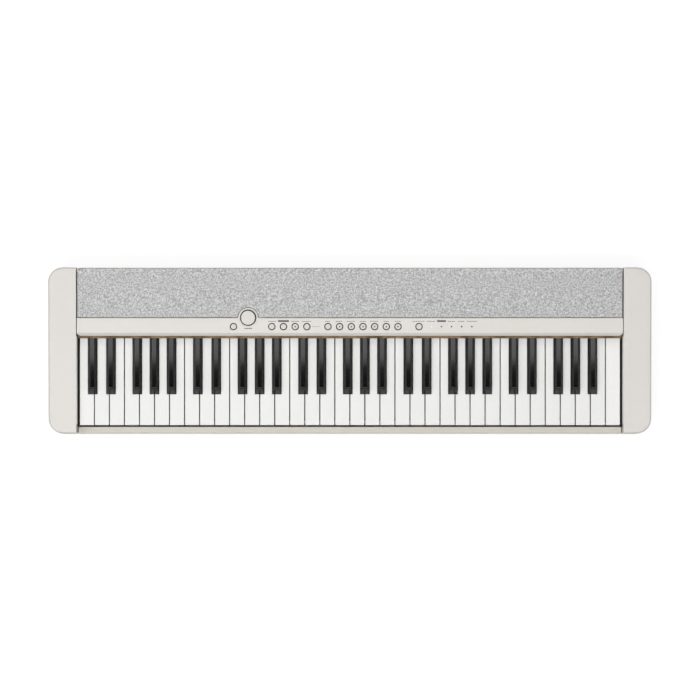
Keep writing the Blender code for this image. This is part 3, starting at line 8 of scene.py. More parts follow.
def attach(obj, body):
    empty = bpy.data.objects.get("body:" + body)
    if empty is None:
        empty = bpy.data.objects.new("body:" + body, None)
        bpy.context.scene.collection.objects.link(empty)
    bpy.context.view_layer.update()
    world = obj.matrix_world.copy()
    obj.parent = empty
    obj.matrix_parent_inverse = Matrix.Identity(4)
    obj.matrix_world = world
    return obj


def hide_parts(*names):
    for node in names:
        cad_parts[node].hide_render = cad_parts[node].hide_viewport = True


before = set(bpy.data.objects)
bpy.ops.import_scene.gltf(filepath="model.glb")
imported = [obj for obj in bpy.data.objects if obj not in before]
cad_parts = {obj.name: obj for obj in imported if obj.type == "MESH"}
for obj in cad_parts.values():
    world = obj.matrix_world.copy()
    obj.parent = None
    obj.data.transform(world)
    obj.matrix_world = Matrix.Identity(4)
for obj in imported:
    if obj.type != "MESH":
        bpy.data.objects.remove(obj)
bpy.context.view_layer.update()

print("frame loaded,", len(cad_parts), "nodes")

# where the main planes lie, metres
caseSize = {
    "halfLength": 0.465,
    "front": -0.1295,
    "frontLedge": 0.0019,
    "rear": 0.1285,
    "floor": 0.005,
    "innerFloor": 0.0075,
    "seam": 0.044,
    "wall": 0.0025,
    "cornerRadius": 0.0225,
    "gap": 0.0003,
}

# the sloping panel and speaker deck, measured along the slope from the lip
console = {
    "halfLength": 0.4209,
    "lipY": 0.0231,
    "lipZ": 0.083,
    "slope": math.radians(1.75),
    "depth": 0.10545,
    "panelDepth": 0.0275,
    "deckDrop": 0.009,
    "rearRim": 0.0013,
    "clothGap": 0.0008,
    "buttonRow": 0.01415,
    "knobX": -0.1568,
    "knobBack": 0.0278,
    "collarRadius": 0.0154,
}

# how far a cutting piece reaches past what it cuts and a joined piece into what it joins,
# and how far off a face or an edge may lie and still be picked
past, bury, slack = 0.001, 0.0005, 0.0001
aboveSeam = caseSize["seam"] + caseSize["gap"]
knobPlace = (console["knobX"], console["knobBack"])


# small helpers for modelling

def deselectAll():
    if bpy.context.object and bpy.context.object.mode != "OBJECT":
        bpy.ops.object.mode_set(mode="OBJECT")
    bpy.ops.object.select_all(action="DESELECT")


def makeActive(piece):
    deselectAll()
    piece.select_set(True)
    bpy.context.view_layer.objects.active = piece


def applyPlace(piece):
    makeActive(piece)
    bpy.ops.object.transform_apply(location=True, rotation=True, scale=True)


def addBox(name, low, high):
    deselectAll()
    middle = [(a + b) / 2 for a, b in zip(low, high)]
    size = [b - a for a, b in zip(low, high)]
    bpy.ops.mesh.primitive_cube_add(size=1, location=middle, scale=size)
    piece = bpy.context.object
    piece.name = name
    applyPlace(piece)
    return piece


def addRound(name, radius, low, high, sides=48, x=0.0, y=0.0, facingRear=False):
    # upright from low to high, or lying along Y when it faces the rear and y is then a height
    deselectAll()
    middle = (low + high) / 2
    place = (x, middle, y) if facingRear else (x, y, middle)
    turn = (-math.pi / 2, 0, 0) if facingRear else (0, 0, 0)
    bpy.ops.mesh.primitive_cylinder_add(vertices=sides, radius=radius, depth=high - low, location=place,
                                        rotation=turn)
    piece = bpy.context.object
    piece.name = name
    applyPlace(piece)
    return piece


def startEdit(piece, kind="FACE"):
    makeActive(piece)
    bpy.ops.object.mode_set(mode="EDIT")
    switchTo(kind)


def switchTo(kind):
    bpy.ops.mesh.select_mode(type=kind)
    bpy.ops.mesh.select_all(action="DESELECT")


def endEdit():
    bpy.ops.object.mode_set(mode="OBJECT")


def pick(test):
    # selects, in the current select mode, what passes a test by place or normal
    mesh = bpy.context.object.data
    form = bmesh.from_edit_mesh(mesh)
    form.normal_update()
    verts, edges, faces = bpy.context.tool_settings.mesh_select_mode
    items = form.faces if faces else form.edges if edges else form.verts
    bpy.ops.mesh.select_all(action="DESELECT")
    for item in items:
        if test(item):
            item.select_set(True)
    form.select_flush_mode()
    bmesh.update_edit_mesh(mesh)


def pickFacing(x=0, y=0, z=0, height=None):
    # the faces that look one way, at one height or at any
    pick(lambda face: facing(face, x, y, z) and (height is None or near(face.calc_center_median().z, height)))


def along(axis, y=None):
    # a test for edges that run along an axis, at one y or at any
    return lambda edge: runsAlong(edge, axis) and (y is None or near(middleOf(edge).y, y))


def atHeight(height):
    return lambda edge: near(middleOf(edge).z, height)


def near(value, target, within=0.00002):
    return abs(value - target) < within


def middleOf(edge):
    return (edge.verts[0].co + edge.verts[1].co) / 2


def runsAlong(edge, axis):
    return abs((edge.verts[1].co - edge.verts[0].co).normalized()["xyz".index(axis)]) > 0.999


def isCorner(edge, degrees=20):
    return len(edge.link_faces) == 2 and edge.calc_face_angle() > math.radians(degrees)


def facing(face, x=0, y=0, z=0, least=0.99):
    return face.normal.dot(Vector((x, y, z))) > least


def extrudeBy(x=0.0, y=0.0, z=0.0):
    bpy.ops.mesh.extrude_region_move(TRANSFORM_OT_translate={"value": (x, y, z)})


def growBy(x, y, z, middle):
    bpy.ops.transform.resize(value=(x, y, z), center_override=middle)


def moveBy(x=0.0, y=0.0, z=0.0):
    bpy.ops.transform.translate(value=(x, y, z))


def openTowards(piece, z):
    # takes away the faces that look down or up
    startEdit(piece)
    pickFacing(z=z)
    bpy.ops.mesh.delete(type="FACE")
    endEdit()


def bevelWhere(width, segments, test):
    # rounds the edges that pass a test
    pick(test)
    bpy.ops.mesh.bevel(offset=width, segments=segments, affect="EDGES")


def roundEdges(piece, width, segments, test):
    startEdit(piece, "EDGE")
    bevelWhere(width, segments, test)
    endEdit()


def sliceAt(place, normal, clearOuter=False):
    bpy.ops.mesh.select_all(action="SELECT")
    bpy.ops.mesh.bisect(plane_co=place, plane_no=normal, clear_outer=clearOuter, use_fill=clearOuter)


def applyModifier(piece, kind, **settings):
    makeActive(piece)
    modifier = piece.modifiers.new(kind.lower(), kind)
    for name, value in settings.items():
        setattr(modifier, name, value)
    bpy.ops.object.modifier_apply(modifier=modifier.name)


def combine(piece, tools, operation):
    for tool in tools:
        applyModifier(piece, "BOOLEAN", operation=operation, solver="EXACT", object=tool)
        bpy.data.objects.remove(tool, do_unlink=True)


def cutWith(piece, *tools):
    combine(piece, tools, "DIFFERENCE")


def joinOn(piece, *tools):
    combine(piece, tools, "UNION")


def joined(pieces):
    if len(pieces) == 1:
        return pieces[0]
    deselectAll()
    for piece in pieces:
        piece.select_set(True)
    bpy.context.view_layer.objects.active = pieces[0]
    bpy.ops.object.join()
    return pieces[0]


def softenEdges(piece, width, segments=2, degrees=35):
    applyModifier(piece, "BEVEL", width=width, segments=segments, limit_method="ANGLE",
                  angle_limit=math.radians(degrees), use_clamp_overlap=True)


def copyOf(piece, name, move=(0, 0, 0)):
    twin = piece.copy()
    twin.data = piece.data.copy()
    twin.name = name
    bpy.context.scene.collection.objects.link(twin)
    twin.data.transform(Matrix.Translation(move))
    return twin


def layOnConsole(piece, x=0.0, back=0.0):
    # from panel coordinates, with the piece modelled round the origin, to its place
    lay = Matrix.Translation((0, console["lipY"], console["lipZ"])) @ Matrix.Rotation(console["slope"], 4, "X")
    piece.matrix_world = lay @ Matrix.Translation((x, back, 0))
    applyPlace(piece)
    return piece


def onPanel(point):
    # how far back along the slope, and how high above it, a point lies
    offset = point - Vector((0, console["lipY"], console["lipZ"]))
    slope = console["slope"]
    return (offset.y * math.cos(slope) + offset.z * math.sin(slope),
            offset.z * math.cos(slope) - offset.y * math.sin(slope))


def finishPiece(piece, name, body, surfaces, nodes=(), degrees=30, zoneOf=None):
    # surfaces is one or more names of finishes; zoneOf gives each face the number of one of them
    piece.name = name
    startEdit(piece)
    bpy.ops.mesh.select_all(action="SELECT")
    bpy.ops.mesh.remove_doubles(threshold=0.000002)
    bpy.ops.mesh.normals_make_consistent(inside=False)
    bpy.ops.object.mode_set(mode="OBJECT")
    bpy.ops.object.shade_smooth_by_angle(angle=math.radians(degrees))
    applyModifier(piece, "WEIGHTED_NORMAL", keep_sharp=True)
    piece.data.materials.clear()
    for surface in surfaces.split():
        piece.data.materials.append(finish[surface])
    if zoneOf:
        for face in piece.data.polygons:
            face.material_index = zoneOf(face)
    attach(piece, body)
    if nodes:
        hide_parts(*nodes)


def pieceNameOf(node):
    words = node.split("_")
    return words[0] + "".join(word.capitalize() for word in words[1:])


# what the surfaces are made of: shader groups for moulded plastic, woven cloth and felt

def feed(tree, socket, value):
    # links the socket to another one, or sets its number or colour
    if isinstance(value, bpy.types.NodeSocket):
        tree.links.new(value, socket)
    else:
        socket.default_value = value


def addNode(tree, kind, values=()):
    # values are the node's own settings, or what its sockets get
    node = tree.nodes.new("ShaderNode" + kind)
    for name, value in dict(values).items():
        if name in node.inputs:
            feed(tree, node.inputs[name], value)
        else:
            setattr(node, name, value)
    return node


def addNoise(tree, place, scale, detail=2.0, roughness=0.5, distortion=0.0):
    return addNode(tree, "TexNoise", {"Vector": place, "Scale": scale, "Detail": detail, "Roughness": roughness,
                                      "Distortion": distortion}).outputs["Fac"]


def mixed(tree, share, first, second, kind="RGBA", blend="MIX"):
    # mixes two colours, or two numbers when the kind is FLOAT
    mix = addNode(tree, "Mix", {"data_type": kind, "blend_type": blend, "Factor": share})
    inputAt, outputAt = (6, 2) if kind == "RGBA" else (2, 0)
    feed(tree, mix.inputs[inputAt], first)
    feed(tree, mix.inputs[inputAt + 1], second)
    return mix.outputs[outputAt]


def spread(tree, value, low, high, fromLow=0.35, fromHigh=0.65):
    return addNode(tree, "MapRange", {"Value": value, "From Min": fromLow, "From Max": fromHigh,
                                      "To Min": low, "To Max": high}).outputs["Result"]


def maths(tree, operation, first, second=0.0):
    node = addNode(tree, "Math", {"operation": operation})
    feed(tree, node.inputs[0], first)
    feed(tree, node.inputs[1], second)
    return node.outputs["Value"]


def newGroup(name, inputs):
    group = bpy.data.node_groups.new(name, "ShaderNodeTree")
    for label, kind, value in inputs:
        group.interface.new_socket(label, in_out="INPUT", socket_type="NodeSocket" + kind).default_value = value
    for label, kind in (("Colour", "Color"), ("Roughness", "Float"), ("Height", "Float")):
        group.interface.new_socket(label, in_out="OUTPUT", socket_type="NodeSocket" + kind)
    place = addNode(group, "TexCoord").outputs["Object"]
    return group, group.nodes.new("NodeGroupInput").outputs, place


def giveOut(group, colour, roughness, height):
    outside = group.nodes.new("NodeGroupOutput")
    for name, value in (("Colour", colour), ("Roughness", roughness), ("Height", height)):
        group.links.new(value, outside.inputs[name])
    return group


def buildMouldedGroup():
    # satin or glossy moulding: faint mottling, fine spark-eroded grain, edges a little lighter
    group, given, place = newGroup("mouldedPlastic", [
        ("Colour", "Color", (0.8, 0.8, 0.8, 1)), ("Mottle", "Float", 0.02), ("Grain Scale", "Float", 2600.0),
        ("Roughness", "Float", 0.45), ("Roughness Spread", "Float", 0.06), ("Edge Lift", "Float", 0.0),
    ])
    broad = addNoise(group, place, 9.0, 3.0)
    fine = addNoise(group, place, 160.0, 4.0, 0.6)
    grain = addNoise(group, place, given["Grain Scale"], 3.0, 0.6)
    darker = mixed(group, 1.0, given["Colour"], (0.93, 0.915, 0.89, 1), blend="MULTIPLY")
    both = maths(group, "MULTIPLY", maths(group, "ADD", broad, fine), 0.5)
    mottle = maths(group, "MULTIPLY", spread(group, both, 0.0, 20.0), given["Mottle"])
    tone = mixed(group, mottle, given["Colour"], darker)
    # sharp convex edges are made a little lighter
    edgePointiness = addNode(group, "NewGeometry").outputs["Pointiness"]
    edge = maths(group, "MULTIPLY", spread(group, edgePointiness, 0.0, 1.0, 0.52, 0.6), given["Edge Lift"])
    lighter = mixed(group, 1.0, tone, (1.12, 1.12, 1.12, 1), blend="MULTIPLY")
    uneven = maths(group, "MULTIPLY", spread(group, fine, -1.0, 1.0), given["Roughness Spread"])
    rough = maths(group, "ADD", given["Roughness"], uneven)
    return giveOut(group, mixed(group, edge, tone, lighter), rough, grain)


def buildClothGroup():
    # speaker cloth: a plain weave of melange yarn, with flecks drawn out along both directions
    group, given, place = newGroup("melangeCloth", [
        ("Light", "Color", (0.6, 0.6, 0.6, 1)), ("Dark", "Color", (0.3, 0.3, 0.3, 1)),
        ("Thread", "Float", 0.0009), ("Fleck", "Float", 0.5),
    ])
    axes = addNode(group, "SeparateXYZ", {"Vector": place}).outputs

    def yarn(across, scale):
        stretched = addNode(group, "Mapping", {"vector_type": "POINT", "Vector": place, "Scale": scale})
        fleck = addNoise(group, stretched.outputs["Vector"], 1.0, 2.0, 0.7)
        phase = maths(group, "MULTIPLY", maths(group, "DIVIDE", across, given["Thread"]), math.pi)
        return fleck, maths(group, "ABSOLUTE", maths(group, "SINE", phase))

    fleckX, ridgeX = yarn(axes["Y"], (280, 620, 620))
    fleckY, ridgeY = yarn(axes["X"], (620, 280, 620))
    over = addNode(group, "TexChecker", {
        "Vector": place, "Color1": (1, 1, 1, 1), "Color2": (0, 0, 0, 1),
        "Scale": maths(group, "DIVIDE", 1.0, given["Thread"]),
    }).outputs["Fac"]
    fleck = mixed(group, over, fleckX, fleckY, "FLOAT")
    ridge = mixed(group, over, ridgeX, ridgeY, "FLOAT")
    both = maths(group, "MULTIPLY", maths(group, "ADD", fleckX, fleckY), 0.5)
    share = maths(group, "MULTIPLY", spread(group, both, 0.0, 1.0, 0.4, 0.6), given["Fleck"])
    tone = mixed(group, share, given["Light"], given["Dark"])
    # the hollows between the yarns are painted darker: painted shade
    hollow = maths(group, "MULTIPLY", maths(group, "SUBTRACT", 1.0, ridge), 0.35)
    return giveOut(group, mixed(group, hollow, tone, given["Dark"]), spread(group, fleck, 0.82, 0.97), ridge)


def buildFeltGroup():
    # pressed wool: tangled fibres at two sizes
    group, given, place = newGroup("pressedFelt", [
        ("Light", "Color", (0.3, 0.2, 0.15, 1)), ("Dark", "Color", (0.15, 0.1, 0.08, 1)),
        ("Fibre Scale", "Float", 900.0),
    ])
    fibre = addNoise(group, place, given["Fibre Scale"], 6.0, 0.75, 1.6)
    both = maths(group, "MULTIPLY", maths(group, "ADD", fibre, addNoise(group, place, 60.0, 3.0)), 0.5)
    colour = mixed(group, spread(group, both, 0.0, 1.0, 0.4, 0.6), given["Dark"], given["Light"])
    return giveOut(group, colour, spread(group, fibre, 0.88, 1.0), fibre)


def linearColour(red, green, blue):
    shares = [value / 255 for value in (red, green, blue)]
    return (*[share / 12.92 if share <= 0.04045 else ((share + 0.055) / 1.055) ** 2.4 for share in shares], 1.0)


def newMaterial(name, group, groupValues, bump, bumpDistance=0.0001, shader=()):
    # the shader values are those of the Principled node's own sockets
    material = bpy.data.materials.new(name)
    material.use_nodes = True
    tree = material.node_tree
    principled = tree.nodes["Principled BSDF"]
    surface = tree.nodes.new("ShaderNodeGroup")
    surface.node_tree = group
    for socket, value in groupValues.items():
        surface.inputs[socket].default_value = value
    relief = addNode(tree, "Bump", {"Strength": bump, "Distance": bumpDistance, "Height": surface.outputs["Height"]})
    for socket, source in (("Base Color", surface.outputs["Colour"]), ("Roughness", surface.outputs["Roughness"]),
                           ("Normal", relief.outputs["Normal"])):
        tree.links.new(source, principled.inputs[socket])
    for socket, value in dict(shader).items():
        principled.inputs[socket].default_value = value
    return material


moulded = buildMouldedGroup()
woven = buildClothGroup()
pressed = buildFeltGroup()

# sRGB colours and how glossy each finish is
finishes = {
    "casePlastic": {"colour": (229, 225, 220), "roughness": 0.42, "grain": 2600.0, "bump": 0.12},
    # the rail plastic: a warmer tint than the case, and darker as painted shade on the rail's low top
    "railPlasticAndPaintedShade": {"colour": (214, 209, 201), "roughness": 0.42, "grain": 2600.0, "bump": 0.12},
    "whiteKeyPlastic": {"colour": (248, 248, 246), "roughness": 0.22, "grain": 1400.0, "bump": 0.03},
    "blackKeyPlastic": {"colour": (6, 6, 7), "roughness": 0.055, "spread": 0.01, "grain": 1400.0, "bump": 0.003},
    "blackKeySide": {"colour": (9, 9, 10), "roughness": 0.55, "grain": 2200.0, "bump": 0.15, "specular": 0.08},
    "buttonPlastic": {"colour": (224, 221, 216), "roughness": 0.38, "grain": 2600.0, "bump": 0.10},
    "knobPlastic": {"colour": (226, 223, 218), "roughness": 0.36, "grain": 2600.0, "bump": 0.10},
    "framePlastic": {"colour": (30, 31, 33), "roughness": 0.55, "grain": 1800.0, "bump": 0.20},
    # black plastic of the sockets, and painted shade in the gaps round the knob and the buttons
    "blackPlastic": {"colour": (26, 26, 28), "roughness": 0.45, "grain": 1800.0, "bump": 0.20},
    "printGrey": {"colour": (96, 95, 93), "roughness": 0.55, "grain": 4000.0, "bump": 0.05},
    "windowDark": {"colour": (60, 60, 60), "roughness": 0.15, "grain": 1400.0, "bump": 0.02},
    "rubberBlack": {"colour": (38, 38, 39), "roughness": 0.82, "grain": 1500.0, "bump": 0.40},
    "boardGreen": {"colour": (20, 40, 27), "roughness": 0.38, "grain": 900.0, "bump": 0.30},
    "speakerPaper": {"colour": (42, 41, 41), "roughness": 0.92, "grain": 700.0, "bump": 0.60},
}


def plasticFinish(name):
    values = finishes[name]
    return newMaterial(name, moulded, {
        "Colour": linearColour(*values["colour"]), "Roughness": values["roughness"],
        "Grain Scale": values["grain"], "Mottle": 0.02, "Roughness Spread": values.get("spread", 0.05),
        "Edge Lift": 0.3,
    }, values["bump"], shader={"Specular IOR Level": values.get("specular", 0.5)})


def metalFinish(name, colour, roughness):
    return newMaterial(name, moulded, {
        "Colour": linearColour(*colour), "Roughness": roughness, "Grain Scale": 900.0, "Mottle": 0.03,
        "Roughness Spread": 0.1, "Edge Lift": 0.2,
    }, 0.1, shader={"Metallic": 1.0})


def windowFinish(name, colour, roughness, shader):
    return newMaterial(name, moulded, {
        "Colour": linearColour(*colour), "Roughness": roughness, "Grain Scale": 1400.0, "Mottle": 0.01,
    }, 0.02, shader=shader)


finish = {name: plasticFinish(name) for name in finishes}
finish["brightMetal"] = metalFinish("brightMetal", (196, 196, 198), 0.24)
finish["speakerMetal"] = metalFinish("speakerMetal", (92, 92, 96), 0.42)
finish["clearPlastic"] = windowFinish("clearPlastic", (214, 218, 214), 0.12, {"IOR": 1.49})
finish["windowLit"] = windowFinish("windowLit", (250, 250, 250), 0.2,
                                   {"Emission Strength": 0.25, "Emission Color": (1, 1, 1, 1)})
finish["grilleCloth"] = newMaterial("grilleCloth", woven, {
    "Light": linearColour(246, 246, 246), "Dark": linearColour(156, 156, 157), "Thread": 0.0009, "Fleck": 0.95,
}, 0.6, 0.00025, {"Sheen Weight": 0.15, "Sheen Roughness": 0.5})
finish["brownFelt"] = newMaterial("brownFelt", pressed, {
    "Light": linearColour(150, 125, 90), "Dark": linearColour(90, 70, 45), "Fibre Scale": 900.0,
}, 0.8, 0.0003, {"Sheen Weight": 0.3, "Sheen Roughness": 0.6})
print("materials made,", len(finish))


# upper case: control panel, recessed speaker deck and rear wall in one moulding

panelForm = {
    "thickness": 0.004, "wall": 0.0025, "cornerRadius": 0.006,
    "chamferRun": 0.0043, "chamferDrop": 0.0034, "rearEdge": 0.0008,
    "buttonHole": 0.00575, "windowHole": 0.0013, "pocketRadius": 0.01265, "pocketFloor": -0.0058,
    "shaftHole": 0.0035, "shaftLow": -0.02, "collarFillet": 0.002, "edge": 0.00035, "above": 0.1,
    "cutBeyond": 0.01, "cutLow": -0.07, "cutRear": 0.2, "holeLow": -0.006, "holeTop": 0.003,
}
buttonX = {
    "button_power": -0.1794, "button_record": 0.1066,
    **{"button_mode_%d" % (n + 1): -0.1203 + 0.018 * n for n in range(4)},
    **{"button_tone_%d" % (n + 1): -0.0338 + 0.018 * n for n in range(7)},
}
windowX = [0.1256 + 0.0156 * n for n in range(5)]
slopeUp = Vector((0, -math.sin(console["slope"]), math.cos(console["slope"])))
lipPoint = Vector((0, console["lipY"], console["lipZ"]))


def consoleBox(name, left, right, front, rear, low, high):
    # a box in panel coordinates, laid on the slope
    return layOnConsole(addBox(name, (left, front, low), (right, rear, high)))


def consoleRound(name, radius, low, high, x, back, sides=48):
    return layOnConsole(addRound(name, radius, low, high, sides), x, back)


def buildCollarFillet(side, low, high):
    # the little web that rounds the corner between the panel's edge and the knob collar
    radius, line, fillet = console["collarRadius"], console["panelDepth"], panelForm["collarFillet"]
    reach = math.sqrt((radius + fillet) ** 2 - (line + fillet - console["knobBack"]) ** 2)
    knob, middle = Vector((*knobPlace, 0)), Vector((console["knobX"] + side * reach, line + fillet, 0))
    ends = sorted((knob.x, middle.x))
    web = addBox("collarFillet", (ends[0], line - past, low), (ends[1], middle.y, high))
    outward = (middle - knob).cross(Vector((0, 0, 1))).normalized()
    startEdit(web)
    sliceAt(knob, outward if outward.y > 0 else -outward, clearOuter=True)
    endEdit()
    cutWith(web, addRound("filletRound", fillet, low - past, high + past, 40, middle.x, middle.y))
    return web


def isPanelRearEdge(edge):
    # the panel's rear edge and the top of the round collar behind the knob
    back, height = onPanel(middleOf(edge))
    fromKnob = math.dist((middleOf(edge).x, back), knobPlace)
    onLine = near(back, console["panelDepth"], slack) or near(fromKnob, console["collarRadius"], 2 * slack)
    return onLine and near(height, 0, slack / 2) and isCorner(edge, 45)


def buildUpperCase():
    form = panelForm
    reach, rear = console["halfLength"], caseSize["rear"]
    shell = addBox("upperCase", (-reach, console["lipY"], aboveSeam), (reach, rear, form["above"]))
    startEdit(shell, "EDGE")
    bevelWhere(form["cornerRadius"], 12, along("z"))
    switchTo("VERT")
    sliceAt(lipPoint, slopeUp, clearOuter=True)
    switchTo("EDGE")
    chamferNormal = Vector((0, -form["chamferDrop"], form["chamferRun"])).normalized()
    tilt = Matrix.Rotation(console["slope"], 3, "X")
    sliceAt(lipPoint + tilt @ Vector((0, form["chamferRun"], 0)), tilt @ chamferNormal, clearOuter=True)
    endEdit()

    deck = -console["deckDrop"]
    rim = console["depth"] - console["rearRim"]
    corner = console["depth"] - form["cornerRadius"]
    inner = reach - console["rearRim"]
    beyond = form["cutBeyond"]
    recess = addBox("recess", (-reach - beyond, console["panelDepth"], deck), (reach + beyond, corner, beyond))
    rounded = addBox("roundedRecess", (-inner, console["panelDepth"] + beyond, deck), (inner, rim, beyond))
    roundEdges(rounded, form["cornerRadius"] - console["rearRim"], 10, along("z", rim))
    joinOn(recess, rounded)
    collar = addRound("collar", console["collarRadius"], deck - past, beyond + past, 128, *knobPlace)
    webs = [buildCollarFillet(side, deck - past, beyond + past) for side in (-1, 1)]
    cutWith(recess, collar, *webs)
    layOnConsole(recess)

    under = console["panelDepth"] - form["wall"]
    belowPanel = consoleBox("belowPanel", -reach - beyond, reach + beyond, -2 * beyond, under, form["cutLow"],
                            -form["thickness"])
    belowDeck = consoleBox("belowDeck", -reach - beyond, reach + beyond, under - past, form["cutRear"],
                           form["cutLow"], deck - form["wall"])
    startEdit(belowDeck)
    sliceAt((0, rear - form["wall"], 0), (0, 1, 0), clearOuter=True)
    endEdit()
    cutWith(shell, recess, belowPanel, belowDeck)
    roundEdges(shell, form["rearEdge"], 3, isPanelRearEdge)

    joinOn(shell, consoleRound("well", console["collarRadius"], deck - form["wall"], -form["thickness"] + bury,
                               *knobPlace, 96))
    holes = [consoleRound("hole", radius, form["holeLow"], form["holeTop"], x, console["buttonRow"], sides)
             for radius, places, sides in (
                 (form["buttonHole"], buttonX.values(), 48), (form["windowHole"], windowX, 24)) for x in places]
    pocket = consoleRound("pocket", form["pocketRadius"], form["pocketFloor"], form["holeTop"], *knobPlace, 96)
    shaftHole = consoleRound("shaftHole", form["shaftHole"], form["shaftLow"], 0.0, *knobPlace)
    cutWith(shell, joined(holes), pocket, shaftHole)
    softenEdges(shell, form["edge"], 2, 30)
    # the pocket floor round the knob is painted black: painted shade for the ring gap
    finishPiece(shell, "upperCase", "case", "casePlastic blackPlastic", ["upper_case"],
                zoneOf=lambda face: int(near(onPanel(face.center)[1], form["pocketFloor"], 2 * slack)))


buildUpperCase()
print("upper case made")


# speaker cloth, wrapped over its slotted plate and tucked down the sides of the recess

clothForm = {
    "thickness": 0.001, "edgeRadius": 0.001, "cornerRadius": 0.007, "drop": 0.0087, "steps": 6,
    "sideGap": 0.0009, "rearGap": 0.0003, "flareLow": -0.02, "flareTop": 0.004,
}


def buildGrilleCloth():
    form = clothForm
    gap, fold = console["clothGap"], form["edgeRadius"]
    reach = console["halfLength"] - form["sideGap"]
    front = console["panelDepth"] + gap
    rear = console["depth"] - console["rearRim"] - form["rearGap"]
    cloth = addBox("grilleCloth", (-reach, front, -form["drop"]), (reach, rear, 0))
    startEdit(cloth, "EDGE")
    bevelWhere(form["cornerRadius"], 8, along("z", rear))
    bevelWhere(fold, form["steps"], lambda edge: near(middleOf(edge).z, 0) and not runsAlong(edge, "z"))
    endEdit()

    # the collar's clearance flares at the top, so that the cloth turns down round it too
    radius = console["collarRadius"] + gap
    flare = addRound("flare", radius, form["flareLow"], -fold, 128, *knobPlace)
    startEdit(flare)
    pickFacing(z=1)
    lastHeight, lastRadius = -fold, radius
    for step in range(1, form["steps"] + 1):
        angle = math.pi / 2 * step / form["steps"]
        height = -fold * (1 - math.sin(angle))
        wider = radius + fold * (1 - math.cos(angle))
        extrudeBy(z=height - lastHeight)
        growBy(wider / lastRadius, wider / lastRadius, 1, (*knobPlace, 0))
        lastHeight, lastRadius = height, wider
    extrudeBy(z=form["flareTop"])
    endEdit()
    cutWith(cloth, flare)
    openTowards(cloth, -1)
    applyModifier(cloth, "SOLIDIFY", thickness=form["thickness"], offset=-1.0, use_even_offset=False)
    layOnConsole(cloth)
    finishPiece(cloth, "grilleCloth", "case", "grilleCloth", ["grille_cloth"])


buildGrilleCloth()
print("speaker cloth made")


# end blocks: plain shells with one large outer corner at the front and one at the rear

blockForm = {
    "wall": 0.0025, "outerRadius": 0.0225, "innerRadius": 0.0012, "topEdge": 0.0032, "innerTopEdge": 0.0007,
    "panelGap": 0.0012, "bossRadius": 0.0035, "bossY": (-0.095, 0.094),
}


def isAtTop(edge):
    # an edge of the sloping top face
    return any(face.normal.dot(slopeUp) > 0.999 for face in edge.link_faces)


def weighPicked(share):
    # how much of the block's bevel the picked edges get
    bpy.ops.transform.edge_bevelweight(value=share)


def buildEndBlocks():
    form = blockForm
    inner = console["halfLength"] + form["panelGap"]
    outer = caseSize["halfLength"]
    front = caseSize["front"] + caseSize["frontLedge"]
    block = addBox("rightEndBlock", (inner, front, aboveSeam), (outer, caseSize["rear"], panelForm["above"]))
    startEdit(block, "EDGE")
    bevelWhere(form["outerRadius"], 24, lambda edge: runsAlong(edge, "z") and middleOf(edge).x > outer - slack)
    switchTo("VERT")
    sliceAt(lipPoint, slopeUp, clearOuter=True)
    switchTo("EDGE")
    pick(lambda edge: runsAlong(edge, "z") and middleOf(edge).x < inner + slack)
    weighPicked(form["innerRadius"] / form["topEdge"])
    pick(lambda edge: isAtTop(edge) and isCorner(edge, 45))
    weighPicked(1.0)
    pick(lambda edge: isAtTop(edge) and runsAlong(edge, "y") and middleOf(edge).x < inner + slack)
    weighPicked(form["innerTopEdge"] / form["topEdge"] - 1)
    endEdit()
    applyModifier(block, "BEVEL", width=form["topEdge"], segments=5, limit_method="WEIGHT", use_clamp_overlap=False)
    openTowards(block, -1)
    applyModifier(block, "SOLIDIFY", thickness=form["wall"], offset=-1.0, use_even_offset=True)
    x = (inner + outer) / 2
    for y in form["bossY"]:
        top = console["lipZ"] + (y - console["lipY"]) * math.tan(console["slope"]) - form["wall"] / 2
        joinOn(block, addRound("boss", form["bossRadius"], aboveSeam, top, 24, x, y))
    left = copyOf(block, "leftEndBlock")
    left.data.transform(Matrix.Scale(-1, 4, (1, 0, 0)))
    finishPiece(block, "rightEndBlock", "case", "casePlastic", ["right_end_block"])
    finishPiece(left, "leftEndBlock", "case", "casePlastic", ["left_end_block"])


buildEndBlocks()


# front rail: a slim strip with a rounded front edge, hollow from below

railForm = {
    "depth": 0.0115, "top": 0.052, "frontRadius": 0.0011, "rearRadius": 0.001, "wall": 0.0025, "endEdge": 0.0004,
}


def buildFrontRail():
    form = railForm
    reach = console["halfLength"]
    low = aboveSeam
    front = caseSize["front"] + caseSize["frontLedge"]
    rear = caseSize["front"] + form["depth"]
    rail = addBox("frontRail", (-reach, front, low), (reach, rear, form["top"]))
    startEdit(rail, "EDGE")
    for y, width, segments in ((front, form["frontRadius"], 6), (rear, form["rearRadius"], 3)):
        bevelWhere(width, segments, lambda edge: runsAlong(edge, "x") and near(middleOf(edge).y, y)
                   and middleOf(edge).z > low + slack)
    switchTo("FACE")
    pickFacing(z=-1)
    bpy.ops.mesh.inset(thickness=form["wall"])
    extrudeBy(z=form["top"] - form["wall"] - low)
    switchTo("EDGE")
    bevelWhere(form["endEdge"], 2, lambda edge: abs(middleOf(edge).x) > reach - slack and isCorner(edge, 60))
    endEdit()
    finishPiece(rail, "frontRail", "case", "railPlasticAndPaintedShade", ["front_rail"])


buildFrontRail()


# between the end blocks and the keys: dark plates of key-frame plastic that fill the gap beside the keys, painted
# shade for that gap, and cream strips that close the groove of each end block beside the keys; the groove stays open
# beside the panel

shadeCheekForm = {
    "outer": 0.421, "inner": 0.4202, "front": -0.1168, "rear": 0.0226, "low": 0.036, "top": 0.0652, "edge": 0.0003,
}
sideStripForm = {
    "outer": 0.42205, "inner": 0.4212, "front": -0.1365, "rear": -0.0004, "low": -0.017, "top": -0.0006,
    "edge": 0.0002,
}


